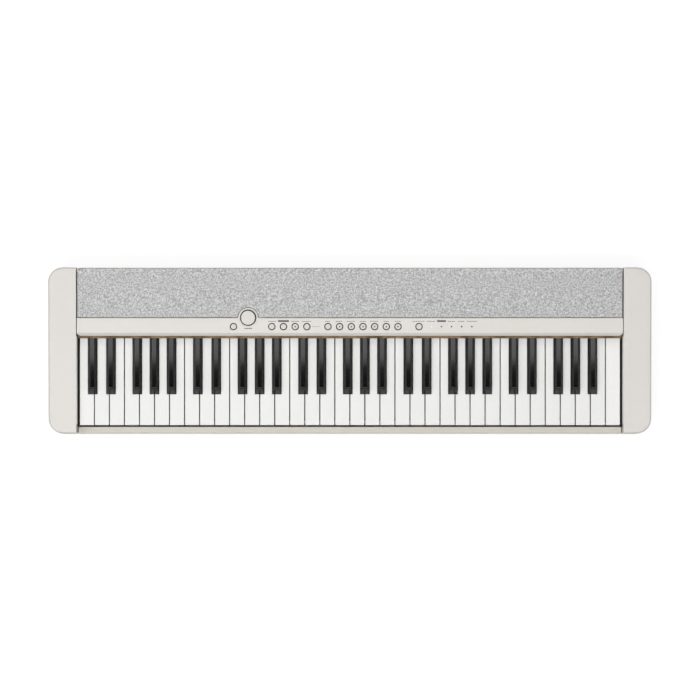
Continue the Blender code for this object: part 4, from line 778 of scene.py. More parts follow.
def addSide(name, form, side):
    # a slim upright box on the left or on the right
    ends = sorted((side * form["outer"], side * form["inner"]))
    return addBox(name, (ends[0], form["front"], form["low"]), (ends[1], form["rear"], form["top"]))


def buildSideStrips():
    for side, name in ((-1, "leftSideStrip"), (1, "rightSideStrip")):
        strip = layOnConsole(addSide(name, sideStripForm, side))
        softenEdges(strip, sideStripForm["edge"], 2, 30)
        finishPiece(strip, name, "case", "casePlastic")


def buildShadeCheeks():
    for side, name in ((-1, "leftCheek"), (1, "rightCheek")):
        cheek = addSide(name, shadeCheekForm, side)
        roundEdges(cheek, shadeCheekForm["edge"], 2,
                   lambda edge: near(middleOf(edge).z, shadeCheekForm["top"]) or runsAlong(edge, "z"))
        finishPiece(cheek, name, "case", "framePlastic")


buildSideStrips()
buildShadeCheeks()
print("end blocks, front rail, side strips and cheeks made")


# the keys: each octave has a comb of C, E, G and B, a comb of D, F and A, and a comb of the five black keys

keyForm = {
    "pitch": 0.02325, "gap": 0.0015, "front": -0.115, "tail": 0.046,
    "top": 0.0655, "bottom": 0.048, "wall": 0.0016, "skin": 0.0021, "edge": 0.0008,
    "blackCentres": (0.89, 2.11, 3.86, 5.0, 6.14), "notchHalf": 0.0073, "notchFront": -0.0672,
    "railFront": 0.0522, "railRear": 0.057, "railThickness": 0.0035,
    "toothWidth": 0.007, "toothThickness": 0.0014,
    "lowRail": 0.05175, "middleRail": 0.05575, "highRail": 0.05975,
}
blackForm = {
    "baseHalf": 0.00685, "crestHalf": 0.004, "front": -0.0664, "slopeRun": 0.0088,
    "low": 0.052, "shoulder": 0.066, "top": 0.077, "stepY": 0.0241, "shelf": 0.0625,
    "sideEdge": 0.0011, "frontEdge": 0.0006, "rearLean": 0.0015, "wall": 0.0016, "hollowRear": 0.02,
    "hollowTop": 0.0653,
}
octaves = 5
fieldLeft = -18 * keyForm["pitch"]


def keySpan(index):
    left = fieldLeft + index * keyForm["pitch"] + keyForm["gap"] / 2
    return left, left + keyForm["pitch"] - keyForm["gap"]


def tailSpan(index):
    left, right = keySpan(index)
    for centre in keyForm["blackCentres"]:
        x = fieldLeft + centre * keyForm["pitch"]
        if abs(centre - index) < 0.5:
            left = x + keyForm["notchHalf"]
        if abs(centre - index - 1) < 0.5:
            right = x - keyForm["notchHalf"]
    return left, right


def buildWhiteKey(index, notched=True):
    form = keyForm
    left, right = keySpan(index)
    tailLeft, tailRight = tailSpan(index) if notched else (left, right)
    key = addBox("whiteKey", (left, form["front"], form["bottom"]), (right, form["notchFront"], form["top"]))
    startEdit(key)
    for x in (tailLeft, tailRight):
        if left + slack < x < right - slack:
            sliceAt((x, 0, 0), (1, 0, 0))
    pick(lambda face: facing(face, y=1) and tailLeft < face.calc_center_median().x < tailRight)
    extrudeBy(y=form["tail"] - form["notchFront"])
    pickFacing(z=-1)
    bpy.ops.mesh.dissolve_faces()
    bpy.ops.mesh.inset(thickness=form["wall"])
    extrudeBy(z=form["top"] - form["skin"] - form["bottom"])
    switchTo("EDGE")
    bevelWhere(form["edge"], 4, lambda edge: isCorner(edge, 60) and near(middleOf(edge).z, form["top"])
               or runsAlong(edge, "z") and near(middleOf(edge).y, form["front"]))
    endEdit()
    return key


def addRail(keys, centres, left, right, height):
    form = keyForm
    half, toothHalf, thin = form["railThickness"] / 2, form["toothWidth"] / 2, form["toothThickness"] / 2
    rail = addBox("rail", (left, form["railFront"], height - half), (right, form["railRear"], height + half))
    teeth = [addBox("tooth", (x - toothHalf, form["tail"] - form["wall"] / 2, height - thin),
                    (x + toothHalf, form["railFront"] + form["wall"], height + thin)) for x in centres]
    joinOn(rail, joined(teeth))
    joinOn(rail, joined(keys))
    return rail


def buildWhiteComb(indexes, railHeight, notched=True):
    keys = [buildWhiteKey(index, notched) for index in indexes]
    spans = [tailSpan(index) if notched else keySpan(index) for index in indexes]
    first, last = (0, 6) if notched else (indexes[0], indexes[-1])
    return addRail(keys, [(a + b) / 2 for a, b in spans], keySpan(first)[0], keySpan(last)[1], railHeight)


def buildBlackKey(x):
    form = blackForm
    key = addBox("blackKey", (x - form["baseHalf"], form["front"], form["low"]),
                 (x + form["baseHalf"], keyForm["tail"], form["shelf"]))
    startEdit(key)
    sliceAt((0, form["stepY"], 0), (0, 1, 0))
    pick(lambda face: facing(face, z=1) and face.calc_center_median().y < form["stepY"])
    extrudeBy(z=form["shoulder"] - form["shelf"])
    extrudeBy(z=form["top"] - form["shoulder"])
    growBy(form["crestHalf"] / form["baseHalf"], 1, 1, (x, 0, form["top"]))
    switchTo("VERT")
    for side, move in ((-1, form["slopeRun"]), (1, -form["rearLean"])):
        pick(lambda vert: vert.co.z > form["top"] - slack and side * vert.co.y > 0)
        moveBy(y=move)
    switchTo("FACE")
    pickFacing(z=-1, height=form["low"])
    bpy.ops.mesh.dissolve_faces()
    bpy.ops.mesh.inset(thickness=form["wall"])
    extrudeBy(z=form["shelf"] - form["wall"] - form["low"])
    # the hollow is deeper under the raised part, which leaves room for the guide post when the key is down
    sliceAt((0, form["hollowRear"], 0), (0, 1, 0))
    pick(lambda face: facing(face, z=-1) and near(face.calc_center_median().z, form["shelf"] - form["wall"])
         and face.calc_center_median().y < form["hollowRear"])
    extrudeBy(z=form["hollowTop"] - form["shelf"] + form["wall"])
    switchTo("EDGE")
    bevelWhere(form["sideEdge"], 5, lambda edge: isCorner(edge) and middleOf(edge).z > form["shoulder"] + slack)
    bevelWhere(form["frontEdge"], 3, lambda edge: isCorner(edge, 60) and runsAlong(edge, "z")
               and near(middleOf(edge).y, form["front"]))
    endEdit()
    return key


def buildBlackComb():
    centres = [fieldLeft + centre * keyForm["pitch"] for centre in keyForm["blackCentres"]]
    keys = [buildBlackKey(x) for x in centres]
    return addRail(keys, centres, keySpan(0)[0], keySpan(6)[1], keyForm["highRail"])


def isBlackKeySide(face):
    # the sides are satin, the top and the rounded edges are polished
    return int(abs(face.normal.x) > 0.93)


def buildKeys():
    white, black = "whiteKeyPlastic", "blackKeyPlastic blackKeySide"
    combs = (
        ("white_keys_cegb_", buildWhiteComb((0, 2, 4, 6), keyForm["lowRail"]), "white_key_plastic", white, None),
        ("white_keys_dfa_", buildWhiteComb((1, 3, 5), keyForm["middleRail"]), "white_key_plastic", white, None),
        ("black_keys_", buildBlackComb(), "black_key_plastic", black, isBlackKeySide),
    )
    for nodeName, comb, slot, surfaces, zoneOf in combs:
        pieces = [copyOf(comb, "copy", (octave * 7 * keyForm["pitch"], 0, 0)) for octave in range(1, octaves)]
        for n, piece in enumerate([comb] + pieces):
            node = nodeName + str(n + 1)
            finishPiece(piece, pieceNameOf(node), node, surfaces, [node], zoneOf=zoneOf)
    topKey = buildWhiteComb((35,), keyForm["lowRail"], notched=False)
    finishPiece(topKey, "whiteKeyTopC", "white_key_top_c", white, ["white_key_top_c"])


buildKeys()
print("keys made")


# the round push buttons: a cap over a wider flange that stops it under the panel; below the panel the cap's side,
# the flange and the stem are painted dark: painted shade for the gap round each button

buttonForm = {
    "capRadius": 0.0042, "rise": 0.0008, "sideDark": -0.0004, "capEdge": 0.0005, "dish": 0.0001,
    "flangeRadius": 0.00665, "flangeTop": -0.0043, "flangeLow": -0.0054,
    "stemRadius": 0.0018, "stemLow": -0.0094, "dotRadius": 0.0012, "rings": (0.001, 0.001),
    "dotted": ("button_mode_3",) + tuple("button_tone_%d" % n for n in range(2, 8)),
}


def sinkRings(rings, y=0.0, z=0.0):
    # insets the picked face again and again, and moves it a little each time
    for ring in rings:
        bpy.ops.mesh.inset(thickness=ring)
        moveBy(y=y, z=z)


def growTo(radius, wanted):
    # widens or narrows the picked round face, which lies about the origin
    growBy(wanted / radius, wanted / radius, 1, (0, 0, 0))
    return wanted


def buildButton(dotted):
    form = buttonForm
    cap = addRound("button", form["capRadius"], form["flangeTop"], form["rise"], 48)
    startEdit(cap, "FACE")
    pickFacing(z=-1)
    radius = form["capRadius"]
    for wanted, drop in ((form["flangeRadius"], form["flangeLow"] - form["flangeTop"]),
                         (form["stemRadius"], form["stemLow"] - form["flangeLow"])):
        extrudeBy()
        radius = growTo(radius, wanted)
        extrudeBy(z=drop)
    switchTo("EDGE")
    bevelWhere(form["capEdge"], 4, atHeight(form["rise"]))
    switchTo("FACE")
    pickFacing(z=1, height=form["rise"])
    reach = form["capRadius"] - form["capEdge"]
    sinkRings(form["rings"], z=-form["dish"] / 2)
    if dotted:
        bpy.ops.mesh.inset(thickness=reach - sum(form["rings"]) - form["dotRadius"])
    sliceAt((0, 0, form["sideDark"]), (0, 0, 1))
    endEdit()
    return cap


# faces below the shade line are painted dark as shade in the gap; the centre dot is print
def buttonZone(face, x, dotted):
    back, height = onPanel(face.center)
    if height < buttonForm["sideDark"]:
        return 1
    fromMiddle = math.hypot(face.center.x - x, back - console["buttonRow"])
    isDot = dotted and height > 0 and fromMiddle < buttonForm["dotRadius"] / 2
    return 2 if isDot else 0


def buildButtons():
    plain, withDot = buildButton(False), buildButton(True)
    for node, x in buttonX.items():
        dotted = node in buttonForm["dotted"]
        button = layOnConsole(copyOf(withDot if dotted else plain, node), x, console["buttonRow"])
        finishPiece(button, pieceNameOf(node), node, "buttonPlastic blackPlastic printGrey", [node],
                    zoneOf=lambda face: buttonZone(face, x, dotted))
    for pattern in (plain, withDot):
        bpy.data.objects.remove(pattern, do_unlink=True)


buildButtons()
print("buttons made")


# volume knob: a hollow cap with a hub for the shaft

knobForm = {
    "radius": 0.0109, "rise": 0.0071, "skirt": -0.005, "wall": 0.0016, "top": 0.0022, "edge": 0.0009,
    "hubRadius": 0.0044, "hubGap": 0.001, "bore": 0.0032, "boreTop": 0.0035, "dish": 0.0002,
    "rings": (0.0012, 0.0018, 0.0025), "skirtDark": -0.0006, "skirtEdge": 0.0003,
}


def buildKnob():
    form = knobForm
    knob = addRound("volumeKnob", form["radius"], form["skirt"], form["rise"], 96)
    startEdit(knob)
    pickFacing(z=-1)
    bpy.ops.mesh.inset(thickness=form["wall"])
    extrudeBy(z=form["rise"] - form["top"] - form["skirt"])
    switchTo("EDGE")
    bevelWhere(form["edge"], 5, atHeight(form["rise"]))
    bevelWhere(form["skirtEdge"], 2, lambda edge: near(middleOf(edge).z, form["skirt"])
               and middleOf(edge).xy.length > form["radius"] - slack)
    switchTo("FACE")
    pickFacing(z=1, height=form["rise"])
    sinkRings(form["rings"], z=-form["dish"] / 3)
    switchTo("VERT")
    sliceAt((0, 0, form["skirtDark"]), (0, 0, 1))
    endEdit()
    joinOn(knob, addRound("hub", form["hubRadius"], form["skirt"] + form["hubGap"],
                          form["rise"] - form["top"] + bury))
    cutWith(knob, addRound("bore", form["bore"], form["skirt"] - past, form["boreTop"], 40))
    layOnConsole(knob, *knobPlace)
    # the skirt below the shade line is painted dark: painted shade for the ring gap round the knob
    finishPiece(knob, "volumeKnob", "volume_knob", "knobPlastic blackPlastic",
                ["volume_knob"], zoneOf=lambda face: int(onPanel(face.center)[1] < form["skirtDark"]))


buildKnob()


# indicator windows: one clear bar under the panel with a light pin for each of the five holes

pipeForm = {
    "left": 0.1236, "right": 0.19, "front": 0.01215, "rear": 0.01615, "top": -0.0043, "low": -0.0067,
    "edge": 0.0004, "pinRadius": 0.0011, "pinEdge": 0.0003, "windowDepth": -0.0015,
}


def buildLightPipe():
    form = pipeForm
    bar = addBox("indicatorLightPipe", (form["left"], form["front"], form["low"]),
                 (form["right"], form["rear"], form["top"]))
    softenEdges(bar, form["edge"], 2)
    pins = []
    for x in windowX:
        pin = addRound("pin", form["pinRadius"], form["top"] - bury, 0.0, 24, x, console["buttonRow"])
        startEdit(pin, "EDGE")
        bevelWhere(form["pinEdge"], 3, atHeight(0))
        switchTo("VERT")
        sliceAt((0, 0, form["windowDepth"]), (0, 0, 1))
        endEdit()
        pins.append(pin)
    joinOn(bar, joined(pins))
    layOnConsole(bar)

    def windowZone(face):
        if onPanel(face.center)[1] < form["windowDepth"]:
            return 0
        return 1 if face.center.x < windowX[0] + form["pinRadius"] else 2

    finishPiece(bar, "indicatorLightPipe", "case", "clearPlastic windowLit windowDark",
                ["indicator_light_pipe"], zoneOf=windowZone)


buildLightPipe()


# felt strip under the panel's lip, over the keys

feltForm = {
    "halfLength": 0.4191, "front": -0.0040, "rear": 0.0028, "top": -0.0043, "thickness": 0.0012,
    "edge": 0.0004, "cuts": 420, "fuzz": 0.00012,
}


def buildFelt():
    form = feltForm
    fuzz = form["fuzz"]
    reach = form["halfLength"] - fuzz
    felt = addBox("keyFeltStrip", (-reach, form["front"] + fuzz, form["top"] - form["thickness"] + fuzz),
                  (reach, form["rear"] - fuzz, form["top"] - fuzz))
    startEdit(felt, "EDGE")
    pick(along("y"))
    bpy.ops.mesh.subdivide(number_cuts=5)
    bevelWhere(form["edge"], 3, lambda edge: runsAlong(edge, "x") and isCorner(edge, 60))
    pick(along("x"))
    bpy.ops.mesh.subdivide(number_cuts=form["cuts"])
    switchTo("VERT")
    bpy.ops.mesh.select_all(action="SELECT")
    bpy.ops.transform.vertex_random(offset=fuzz, uniform=1.0, normal=0.0, seed=7)
    endEdit()
    layOnConsole(felt)
    finishPiece(felt, "keyFeltStrip", "case", "brownFelt", ["key_felt_strip"], degrees=80)


buildFelt()
print("knob, windows and felt made")


# printed marks on the panel: plain dashes above the buttons and windows, two solid bars, one thin line

printForm = {
    "row": 0.0222, "height": 0.0009, "dash": 0.0028, "gap": 0.0006, "thick": 0.00008, "stand": 0.00003,
    "corner": 0.0002,
    "dashes": (
        (-0.1259, -0.1138), (-0.0903, -0.0783), (-0.0737, -0.0595), (-0.0383, -0.0306), (-0.0213, -0.0117),
        (-0.0045, 0.0079), (0.0156, 0.0249), (0.0310, 0.0435), (0.0522, 0.0603), (0.0696, 0.0787),
        (0.0965, 0.1149), (0.1187, 0.1312), (0.1512, 0.1620), (0.1668, 0.1760), (0.1805, 0.1959),
    ),
    "bars": ((-0.1107, -0.0938), (0.1343, 0.1481)), "barHeight": 0.0029, "barRow": 0.0227,
    "line": (-0.0585, -0.0460), "lineHeight": 0.0004,
    "knobMark": (-0.1625, -0.1509), "knobMarkRow": 0.0112, "knobMarkHeight": 0.0015,
}


def addMark(left, right, back, height):
    form = printForm
    mark = addBox("mark", (left, back - height / 2, form["stand"] - form["thick"]),
                  (right, back + height / 2, form["stand"]))
    roundEdges(mark, min(form["corner"], height / 3), 2, along("z"))
    return mark


def addDashes(left, right, back, height):
    form = printForm
    count = max(2, round((right - left) / form["dash"]))
    step = (right - left + form["gap"]) / count
    return [addMark(left + n * step, left + (n + 1) * step - form["gap"], back, height) for n in range(count)]


def buildPrint():
    form = printForm
    marks = []
    for left, right in form["dashes"]:
        marks += addDashes(left, right, form["row"], form["height"])
    marks += [addMark(left, right, form["barRow"], form["barHeight"]) for left, right in form["bars"]]
    marks.append(addMark(*form["line"], console["buttonRow"], form["lineHeight"]))
    marks += addDashes(*form["knobMark"], form["knobMarkRow"], form["knobMarkHeight"])
    finishPiece(layOnConsole(joined(marks)), "panelPrint", "case", "printGrey")


buildPrint()
print("panel print made")


# lower case: one tray with a curved undercut, the battery bay, screw columns and holes for feet and sockets

trayForm = {
    "undercut": 0.006, "fall": 0.095, "levels": (0.02, 0.05, 0.09, 0.14, 0.2, 0.3, 0.45),
    "floorEdge": 0.0012, "edge": 0.0003, "fit": 0.0003,
    "columnRadius": 0.005, "recessRadius": 0.0034, "recessDepth": 0.02,
    "columns": [(x, 0.118) for x in (-0.4062, -0.252, 0.0, 0.252, 0.4062)]
               + [(x, y) for x in (-0.4431, 0.4431) for y in (-0.095, 0.094)],
    "bayLow": (0.062, 0.0638, 0.0075), "bayHigh": (0.174, 0.116, 0.0245), "bayWall": 0.0018, "skirt": 0.004,
}
coverForm = {
    "left": 0.0601, "right": 0.1759, "near": 0.068, "far": 0.1179, "thickness": 0.0022, "axisY": 0.0691,
    "tongueInset": 0.022, "tongueHalf": 0.006, "tongueReach": 0.0025, "tongueRoot": 0.006,
    "tongueLow": 0.0078, "tongueTop": 0.009, "edge": 0.00025, "corner": 0.001, "hingeFlat": 0.00005,
    "ridges": 6, "ridgePitch": 0.0022, "ridgeWidth": 0.001, "ridgeDepth": 0.0004, "ridgeHalf": 0.016,
    "ridgeStart": 0.1015,
}
socketForm = {
    "height": 0.0335, "holeReach": 0.006, "body": 0.0112, "bodyFar": 0.125, "bodyEdge": 0.0005,
    "jackNose": 0.0052, "jackBore": 0.0033, "jackBoreDepth": 0.021, "jackLength": 0.020,
    "collar": 0.0066, "collarReach": 0.001, "collarEdge": 0.00025, "collarGap": 0.0003, "bush": 0.0052,
    "rimWidth": 0.0012, "rimSink": 0.0001, "threadWidth": 0.0004, "threadSink": 0.0003,
    "dcNose": 0.0046, "dcBore": 0.0031, "dcBoreDepth": 0.009,
    "dcLength": 0.011, "pin": 0.001, "pinSetBack": 0.0015,
    "pedalX": -0.2286, "headphoneX": -0.0939, "dcX": -0.1850, "usbX": -0.1330,
    "usbHalf": 0.006, "usbLow": 0.0279, "usbHigh": 0.0387, "usbLength": 0.016, "usbShell": 0.0008,
    "usbTongueHalf": 0.0028, "usbTongueThick": 0.003, "usbTongueSetBack": 0.002, "usbCorner": 0.0022,
    "usbEdge": 0.0004, "usbSetBack": 0.0003, "usbBack": 0.004, "usbTongueRoot": 0.002,
}
footForm = {
    "radius": 0.01, "height": 0.0047, "neck": 0.003, "neckTop": 0.0078, "head": 0.0042, "headTop": 0.01,
    "edge": 0.0008, "rim": 0.0016, "hollow": 0.0005, "padDrop": 0.0003,
    "places": [(x, y) for x in (-0.38, 0.38) for y in (-0.0955, 0.0945)],
}


def shapeUndercut(tray, middle):
    # the walls draw in towards the floor along a smooth curve
    form = trayForm
    height = caseSize["seam"] - caseSize["floor"]
    halfDepth = (caseSize["rear"] - caseSize["front"]) / 2
    startEdit(tray, "EDGE")
    bevelWhere(caseSize["cornerRadius"], 20, along("z"))
    switchTo("VERT")
    for share in form["levels"]:
        sliceAt((0, 0, caseSize["floor"] + share * height), (0, 0, 1))
    for share in (0.0,) + form["levels"]:
        z = caseSize["floor"] + share * height
        drawn = form["undercut"] * math.exp(-share / form["fall"])
        pick(lambda vert: near(vert.co.z, z))
        growBy(1 - drawn / caseSize["halfLength"], 1 - drawn / halfDepth, 1, (0, middle, z))
    endEdit()
    openTowards(tray, 1)
    applyModifier(tray, "SOLIDIFY", thickness=caseSize["wall"], offset=-1.0, use_even_offset=True)
    roundEdges(tray, form["floorEdge"], 3,
               lambda edge: near(middleOf(edge).z, caseSize["floor"]) and isCorner(edge, 30))


def socketHoles():
    form, fit = socketForm, trayForm["fit"]
    low, high = caseSize["rear"] - form["holeReach"], caseSize["rear"] + form["holeReach"]
    noses = ((form["pedalX"], form["jackNose"]), (form["headphoneX"], form["jackNose"]),
             (form["dcX"], form["dcNose"]))
    holes = [addRound("socketHole", radius + fit, low, high, 48, x, form["height"], facingRear=True)
             for x, radius in noses]
    holes.append(addBox("usbHole", (form["usbX"] - form["usbHalf"] - fit, low, form["usbLow"] - fit),
                        (form["usbX"] + form["usbHalf"] + fit, high, form["usbHigh"] + fit)))
    return holes


def buildLowerCase():
    form, cover, fit = trayForm, coverForm, trayForm["fit"]
    floor, inner = caseSize["floor"], caseSize["innerFloor"]
    tray = addBox("lowerCase", (-caseSize["halfLength"], caseSize["front"], floor),
                  (caseSize["halfLength"], caseSize["rear"], caseSize["seam"]))
    shapeUndercut(tray, (caseSize["front"] + caseSize["rear"]) / 2)

    left, front = form["bayLow"][:2]
    right, rear, bayTop = form["bayHigh"]
    wall, skirt, low = form["bayWall"], form["skirt"], floor + bury
    joinOn(tray, addBox("sill", (left - skirt, front - wall, low), (right + skirt, rear + skirt, inner + wall)))
    joinOn(tray, addBox("bayWalls", (left - wall, front - wall, low), (right + wall, rear + wall, bayTop + wall)))
    columns = [addRound("column", form["columnRadius"], low, caseSize["seam"], 32, x, y) for x, y in form["columns"]]
    joinOn(tray, joined(columns))

    cutWith(tray, addBox("bay", form["bayLow"], form["bayHigh"]))
    cutWith(tray, addBox("opening", (cover["left"] - fit, cover["near"] - fit, floor - past),
                         (cover["right"] + fit, cover["far"] + fit, inner)))
    holes = [addRound("hole", radius, floor - past, top, 32, x, y) for radius, top, places in (
        (form["recessRadius"], floor + form["recessDepth"], form["columns"]),
        (footForm["neck"] + fit, inner + past, footForm["places"])) for x, y in places]
    cutWith(tray, joined(holes + socketHoles()))
    softenEdges(tray, form["edge"], 2, 40)
    finishPiece(tray, "lowerCase", "case", "casePlastic", ["lower_case"])


buildLowerCase()
print("lower case made")


# battery cover: a plate that turns on two tongues, with finger ridges at its free edge

def buildCover():
    form = coverForm
    floor = caseSize["floor"]
    plate = addBox("batteryCover", (form["left"], form["near"], floor),
                   (form["right"], form["far"], floor + form["thickness"]))
    startEdit(plate, "EDGE")
    for axis, y, width, segments in (("x", form["near"], form["thickness"] / 2 - form["hingeFlat"], 5),
                                     ("z", form["far"], form["corner"], 4)):
        bevelWhere(width, segments, along(axis, y))
    endEdit()
    for x in (form["left"] + form["tongueInset"], form["right"] - form["tongueInset"]):
        leftSide, rightSide = x - form["tongueHalf"], x + form["tongueHalf"]
        joinOn(plate, addBox("root", (leftSide, form["axisY"], floor + form["thickness"] / 2),
                             (rightSide, form["axisY"] + form["tongueRoot"], form["tongueTop"])))
        joinOn(plate, addBox("hook", (leftSide, form["near"] - form["tongueReach"], form["tongueLow"]),
                             (rightSide, form["axisY"] + past, form["tongueTop"])))
    middle = (form["left"] + form["right"]) / 2
    grooves = []
    for n in range(form["ridges"]):
        y = form["ridgeStart"] + n * form["ridgePitch"]
        groove = addBox("groove", (middle - form["ridgeHalf"], y, floor - past),
                        (middle + form["ridgeHalf"], y + form["ridgeWidth"], floor + form["ridgeDepth"]))
        roundEdges(groove, form["ridgeWidth"] * 0.45, 3, along("z"))
        grooves.append(groove)
    cutWith(plate, joined(grooves))
    softenEdges(plate, form["edge"], 2, 50)
    finishPiece(plate, "batteryCover", "battery_cover", "casePlastic", ["battery_cover"])


buildCover()


# rubber feet: a disc with a rounded rim and a hollow sole, and a neck that snaps into the floor

def buildFeet():
    form = footForm
    foot = addRound("foot", form["radius"], 0.0, form["height"], 48)
    startEdit(foot, "EDGE")
    bevelWhere(form["edge"], 4, atHeight(0))
    switchTo("FACE")
    pickFacing(z=-1, height=0)
    for width, rise in ((form["rim"], form["hollow"]), (form["rim"] * 2, -form["padDrop"])):
        bpy.ops.mesh.inset(thickness=width)
        extrudeBy(z=rise)
    pickFacing(z=1, height=form["height"])
    extrudeBy()
    radius = growTo(form["radius"], form["neck"])
    extrudeBy(z=form["neckTop"] - form["height"])
    extrudeBy()
    growTo(radius, form["head"])
    extrudeBy(z=form["headTop"] - form["neckTop"])
    growTo(form["head"], form["neck"])
    endEdit()
    for x, y in form["places"]:
        side, end = "left" if x < 0 else "right", "front" if y < 0 else "rear"
        twin = copyOf(foot, "copy", (x, y, 0))
        finishPiece(twin, end + side.capitalize() + "Foot", "case", "rubberBlack",
                    ["foot_%s_%s" % (end, side)])
    bpy.data.objects.remove(foot, do_unlink=True)


buildFeet()
print("battery cover and feet made")


# the nine case screws, deep in their recesses, with a cross slot

screwForm = {
    "radius": 0.0029, "low": 0.0233, "high": 0.0249, "dome": 0.0011, "slotLong": 0.0019, "slotHalf": 0.0005,
    "slotDepth": 0.0011,
}


def buildScrews():
    form = screwForm
    head = addRound("caseScrew", form["radius"], form["low"], form["high"], 32)
    roundEdges(head, form["dome"], 5, atHeight(form["low"]))
    long, half = form["slotLong"], form["slotHalf"]
    for x, y in ((long, half), (half, long)):
        cutWith(head, addBox("slot", (-x, -y, form["low"] - past), (x, y, form["low"] + form["slotDepth"])))
    for n, (x, y) in enumerate(trayForm["columns"]):
        finishPiece(copyOf(head, "copy", (x, y, 0)), "caseScrew%d" % (n + 1), "case", "brightMetal")
    bpy.data.objects.remove(head, do_unlink=True)


buildScrews()


# sockets in the rear wall: two threaded jacks, the power inlet and the square data port

def socketBody(name, x, length):
    form = socketForm
    half = form["body"] / 2
    body = addBox(name, (x - half, form["bodyFar"] - length, form["height"] - half),
                  (x + half, form["bodyFar"], form["height"] + half))
    softenEdges(body, form["bodyEdge"], 2)
    return body


def rearRound(name, radius, low, high, x, sides=48):
    # a round that faces the rear, with low and high counted outwards from the case's rear face
    rear = caseSize["rear"]
    return addRound(name, radius, rear + low, rear + high, sides, x, socketForm["height"], facingRear=True)


def fromAxis(face, x):
    # how far a face lies from the axis of the socket at x
    return math.hypot(face.center.x - x, face.center.z - socketForm["height"])


def buildJack(name, node, x):
    form = socketForm
    rear = caseSize["rear"]
    jack = socketBody(name, x, form["jackLength"])
    joinOn(jack, rearRound("nose", form["jackNose"], -form["holeReach"], bury, x))
    collar = rearRound("collar", form["collar"], form["collarGap"], form["collarReach"], x, 64)
    startEdit(collar)
    pickFacing(y=1)
    sinkRings([form["rimWidth"]], y=-form["rimSink"])
    sinkRings([form["threadWidth"]], y=-form["threadSink"])
    switchTo("EDGE")
    middle = Vector((x, rear + form["collarReach"], form["height"]))
    bevelWhere(form["collarEdge"], 2, lambda edge: near(middleOf(edge).y, middle.y)
               and (middleOf(edge) - middle).length > form["collar"] - 2 * slack)
    endEdit()
    joinOn(jack, collar)
    cutWith(jack, rearRound("bore", form["jackBore"], -form["jackBoreDepth"], form["holeReach"], x))

    def isBush(face):
        return int(fromAxis(face, x) < form["bush"] and face.center.y > rear - form["jackBoreDepth"] / 3)

    finishPiece(jack, name, "case", "blackPlastic brightMetal", [node], zoneOf=isBush)


def buildPowerInlet():
    form = socketForm
    x = form["dcX"]
    inlet = socketBody("powerInlet", x, form["dcLength"])
    joinOn(inlet, rearRound("nose", form["dcNose"], -form["holeReach"], -form["collarGap"], x))
    cutWith(inlet, rearRound("bore", form["dcBore"], -form["dcBoreDepth"], form["holeReach"], x))
    joinOn(inlet, rearRound("pin", form["pin"], -form["dcBoreDepth"] - bury, -form["pinSetBack"], x, 24))

    def isPin(face):
        return int(fromAxis(face, x) < form["pin"] + slack
                   and face.center.y > caseSize["rear"] - form["dcBoreDepth"])

    finishPiece(inlet, "powerInlet", "case", "blackPlastic brightMetal", ["dc_inlet"], zoneOf=isPin)


def buildDataPort():
    form = socketForm
    x, half, shell = form["usbX"], form["usbHalf"], form["usbShell"]
    far = caseSize["rear"] - form["usbSetBack"]
    nearEnd = far - form["usbLength"]
    port = addBox("dataPort", (x - half, nearEnd, form["usbLow"]), (x + half, far, form["usbHigh"]))
    softenEdges(port, form["usbEdge"], 2)
    mouth = addBox("mouth", (x - half + shell, nearEnd + form["usbBack"], form["usbLow"] + shell),
                   (x + half - shell, far + past, form["usbHigh"] - shell))
    roundEdges(mouth, form["usbCorner"], 1, lambda edge: runsAlong(edge, "y") and middleOf(edge).z > form["height"])
    cutWith(port, mouth)
    middle = (form["usbLow"] + form["usbHigh"]) / 2
    thin = form["usbTongueThick"] / 2
    joinOn(port, addBox("tongue", (x - form["usbTongueHalf"], nearEnd + form["usbTongueRoot"], middle - thin),
                        (x + form["usbTongueHalf"], far - form["usbTongueSetBack"], middle + thin)))

    def isTongue(face):
        inside = (abs(face.center.x - x) < form["usbTongueHalf"] + slack
                  and abs(face.center.z - middle) < thin + slack)
        return int(inside and nearEnd + form["usbBack"] + slack < face.center.y < far - past)

    finishPiece(port, "dataPort", "case", "brightMetal blackPlastic", ["usb_port"], zoneOf=isTongue)


buildJack("pedalJack", "pedal_jack", socketForm["pedalX"])
buildJack("headphoneJack", "headphone_jack", socketForm["headphoneX"])
buildPowerInlet()
buildDataPort()
print("screws and sockets made")


# what stays as packed, deep inside, gets its real surface
packedFinish = {
    "speaker_grille": "blackPlastic", "key_frame": "framePlastic",
    "key_contact_board": "boardGreen", "contact_rubber_strip": "rubberBlack", "panel_board": "boardGreen",
    "main_board": "boardGreen", "volume_pot": "brightMetal", "speaker_left": "speakerMetal",
    "speaker_right": "speakerMetal", "speaker_cone_left": "speakerPaper", "speaker_cone_right": "speakerPaper",
    "battery_contacts_left": "brightMetal", "battery_contacts_right": "brightMetal",
}
for node, surface in packedFinish.items():
    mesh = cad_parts[node].data
    mesh.materials.clear()
    mesh.materials.append(finish[surface])
print("packed pieces given their surfaces")


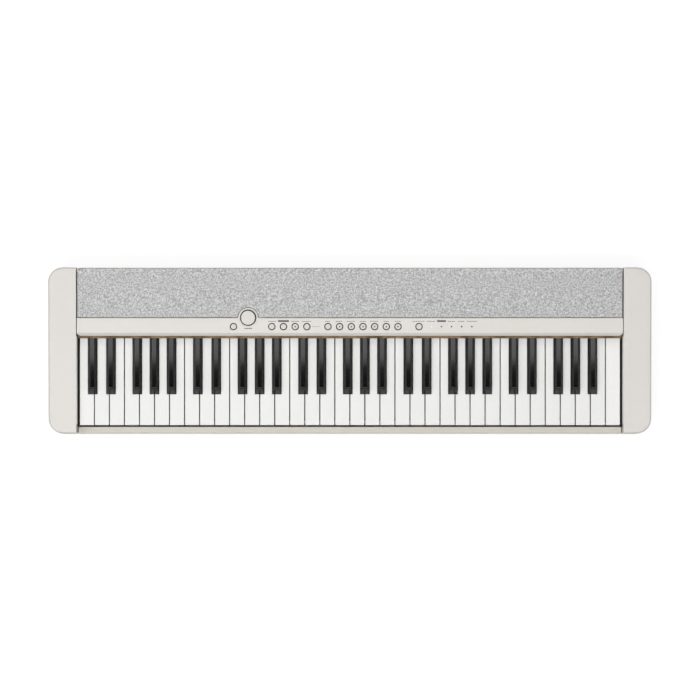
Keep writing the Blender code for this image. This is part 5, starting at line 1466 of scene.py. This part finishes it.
# floor, light and camera; the lamps are metres above the table
studio = {
    "worldStrength": 0.08, "floor": (0.35, 0.35, 0.35), "floorGlow": 0.8,
    "lamps": {
        "topLamp": {"place": (-0.2, 0.27, 3.0), "target": (-0.2, 0.27, 0.0), "size": (2.8, 0.6), "power": 12.5},
        "frontTopLamp": {"place": (-0.2, -1.0, 3.0), "target": (-0.2, -1.0, 0.0), "size": (2.8, 0.9), "power": 54.0},
        "rearLamp": {"place": (0.0, 1.9, 2.4), "target": (0.0, 0.0, 0.05), "size": (3.0, 0.8), "power": 15.0},
        "leftLamp": {"place": (-1.8, 0.1, 2.3), "target": (0.0, 0.0, 0.05), "size": (1.2, 1.2), "power": 12.0},
        "rightLamp": {"place": (1.9, 0.1, 2.3), "target": (0.0, 0.0, 0.05), "size": (1.2, 1.2), "power": 5.0},
    },
    "camera": (0.0002, 0.0012, 5.0855), "lens": 166.9,
}


def addLamp(name, place, target, size, power):
    deselectAll()
    bpy.ops.object.light_add(type="AREA", location=place)
    lamp = bpy.context.object
    lamp.name = name
    lamp.data.shape = "RECTANGLE"
    lamp.data.size, lamp.data.size_y = size
    lamp.data.energy = power
    lamp.rotation_euler = (Vector(target) - Vector(place)).to_track_quat("-Z", "Y").to_euler()
    lamp.visible_camera = False


def buildFloor():
    deselectAll()
    bpy.ops.mesh.primitive_plane_add(size=30, location=(0, 0, 0))
    floor = bpy.context.object
    floor.name = "studioFloor"
    material = bpy.data.materials.new("studioFloor")
    material.use_nodes = True
    tree = material.node_tree
    principled = tree.nodes["Principled BSDF"]
    principled.inputs["Base Color"].default_value = (*studio["floor"], 1)
    principled.inputs["Roughness"].default_value = 0.9
    principled.inputs["Specular IOR Level"].default_value = 0.1
    principled.inputs["Emission Color"].default_value = (1, 1, 1, 1)
    rays = tree.nodes.new("ShaderNodeLightPath")
    seen = maths(tree, "MAXIMUM", rays.outputs["Is Camera Ray"], rays.outputs["Is Glossy Ray"])
    seen = maths(tree, "MAXIMUM", seen, rays.outputs["Is Transmission Ray"])
    tree.links.new(maths(tree, "MULTIPLY", seen, studio["floorGlow"]), principled.inputs["Emission Strength"])
    floor.data.materials.append(material)


def buildStudio():
    world = bpy.data.worlds.new("studioWorld")
    bpy.context.scene.world = world
    world.use_nodes = True
    background = world.node_tree.nodes["Background"]
    background.inputs["Color"].default_value = (1, 1, 1, 1)
    background.inputs["Strength"].default_value = studio["worldStrength"]
    buildFloor()
    for name, values in studio["lamps"].items():
        addLamp(name, **values)
    deselectAll()
    bpy.ops.object.camera_add(location=studio["camera"], rotation=(0, 0, 0))
    camera = bpy.context.object
    camera.data.lens = studio["lens"]
    camera.data.sensor_width = 36
    camera.data.clip_end = 60
    bpy.context.scene.camera = camera
    bpy.context.scene.view_settings.view_transform = "Standard"


buildStudio()
print("studio ready")
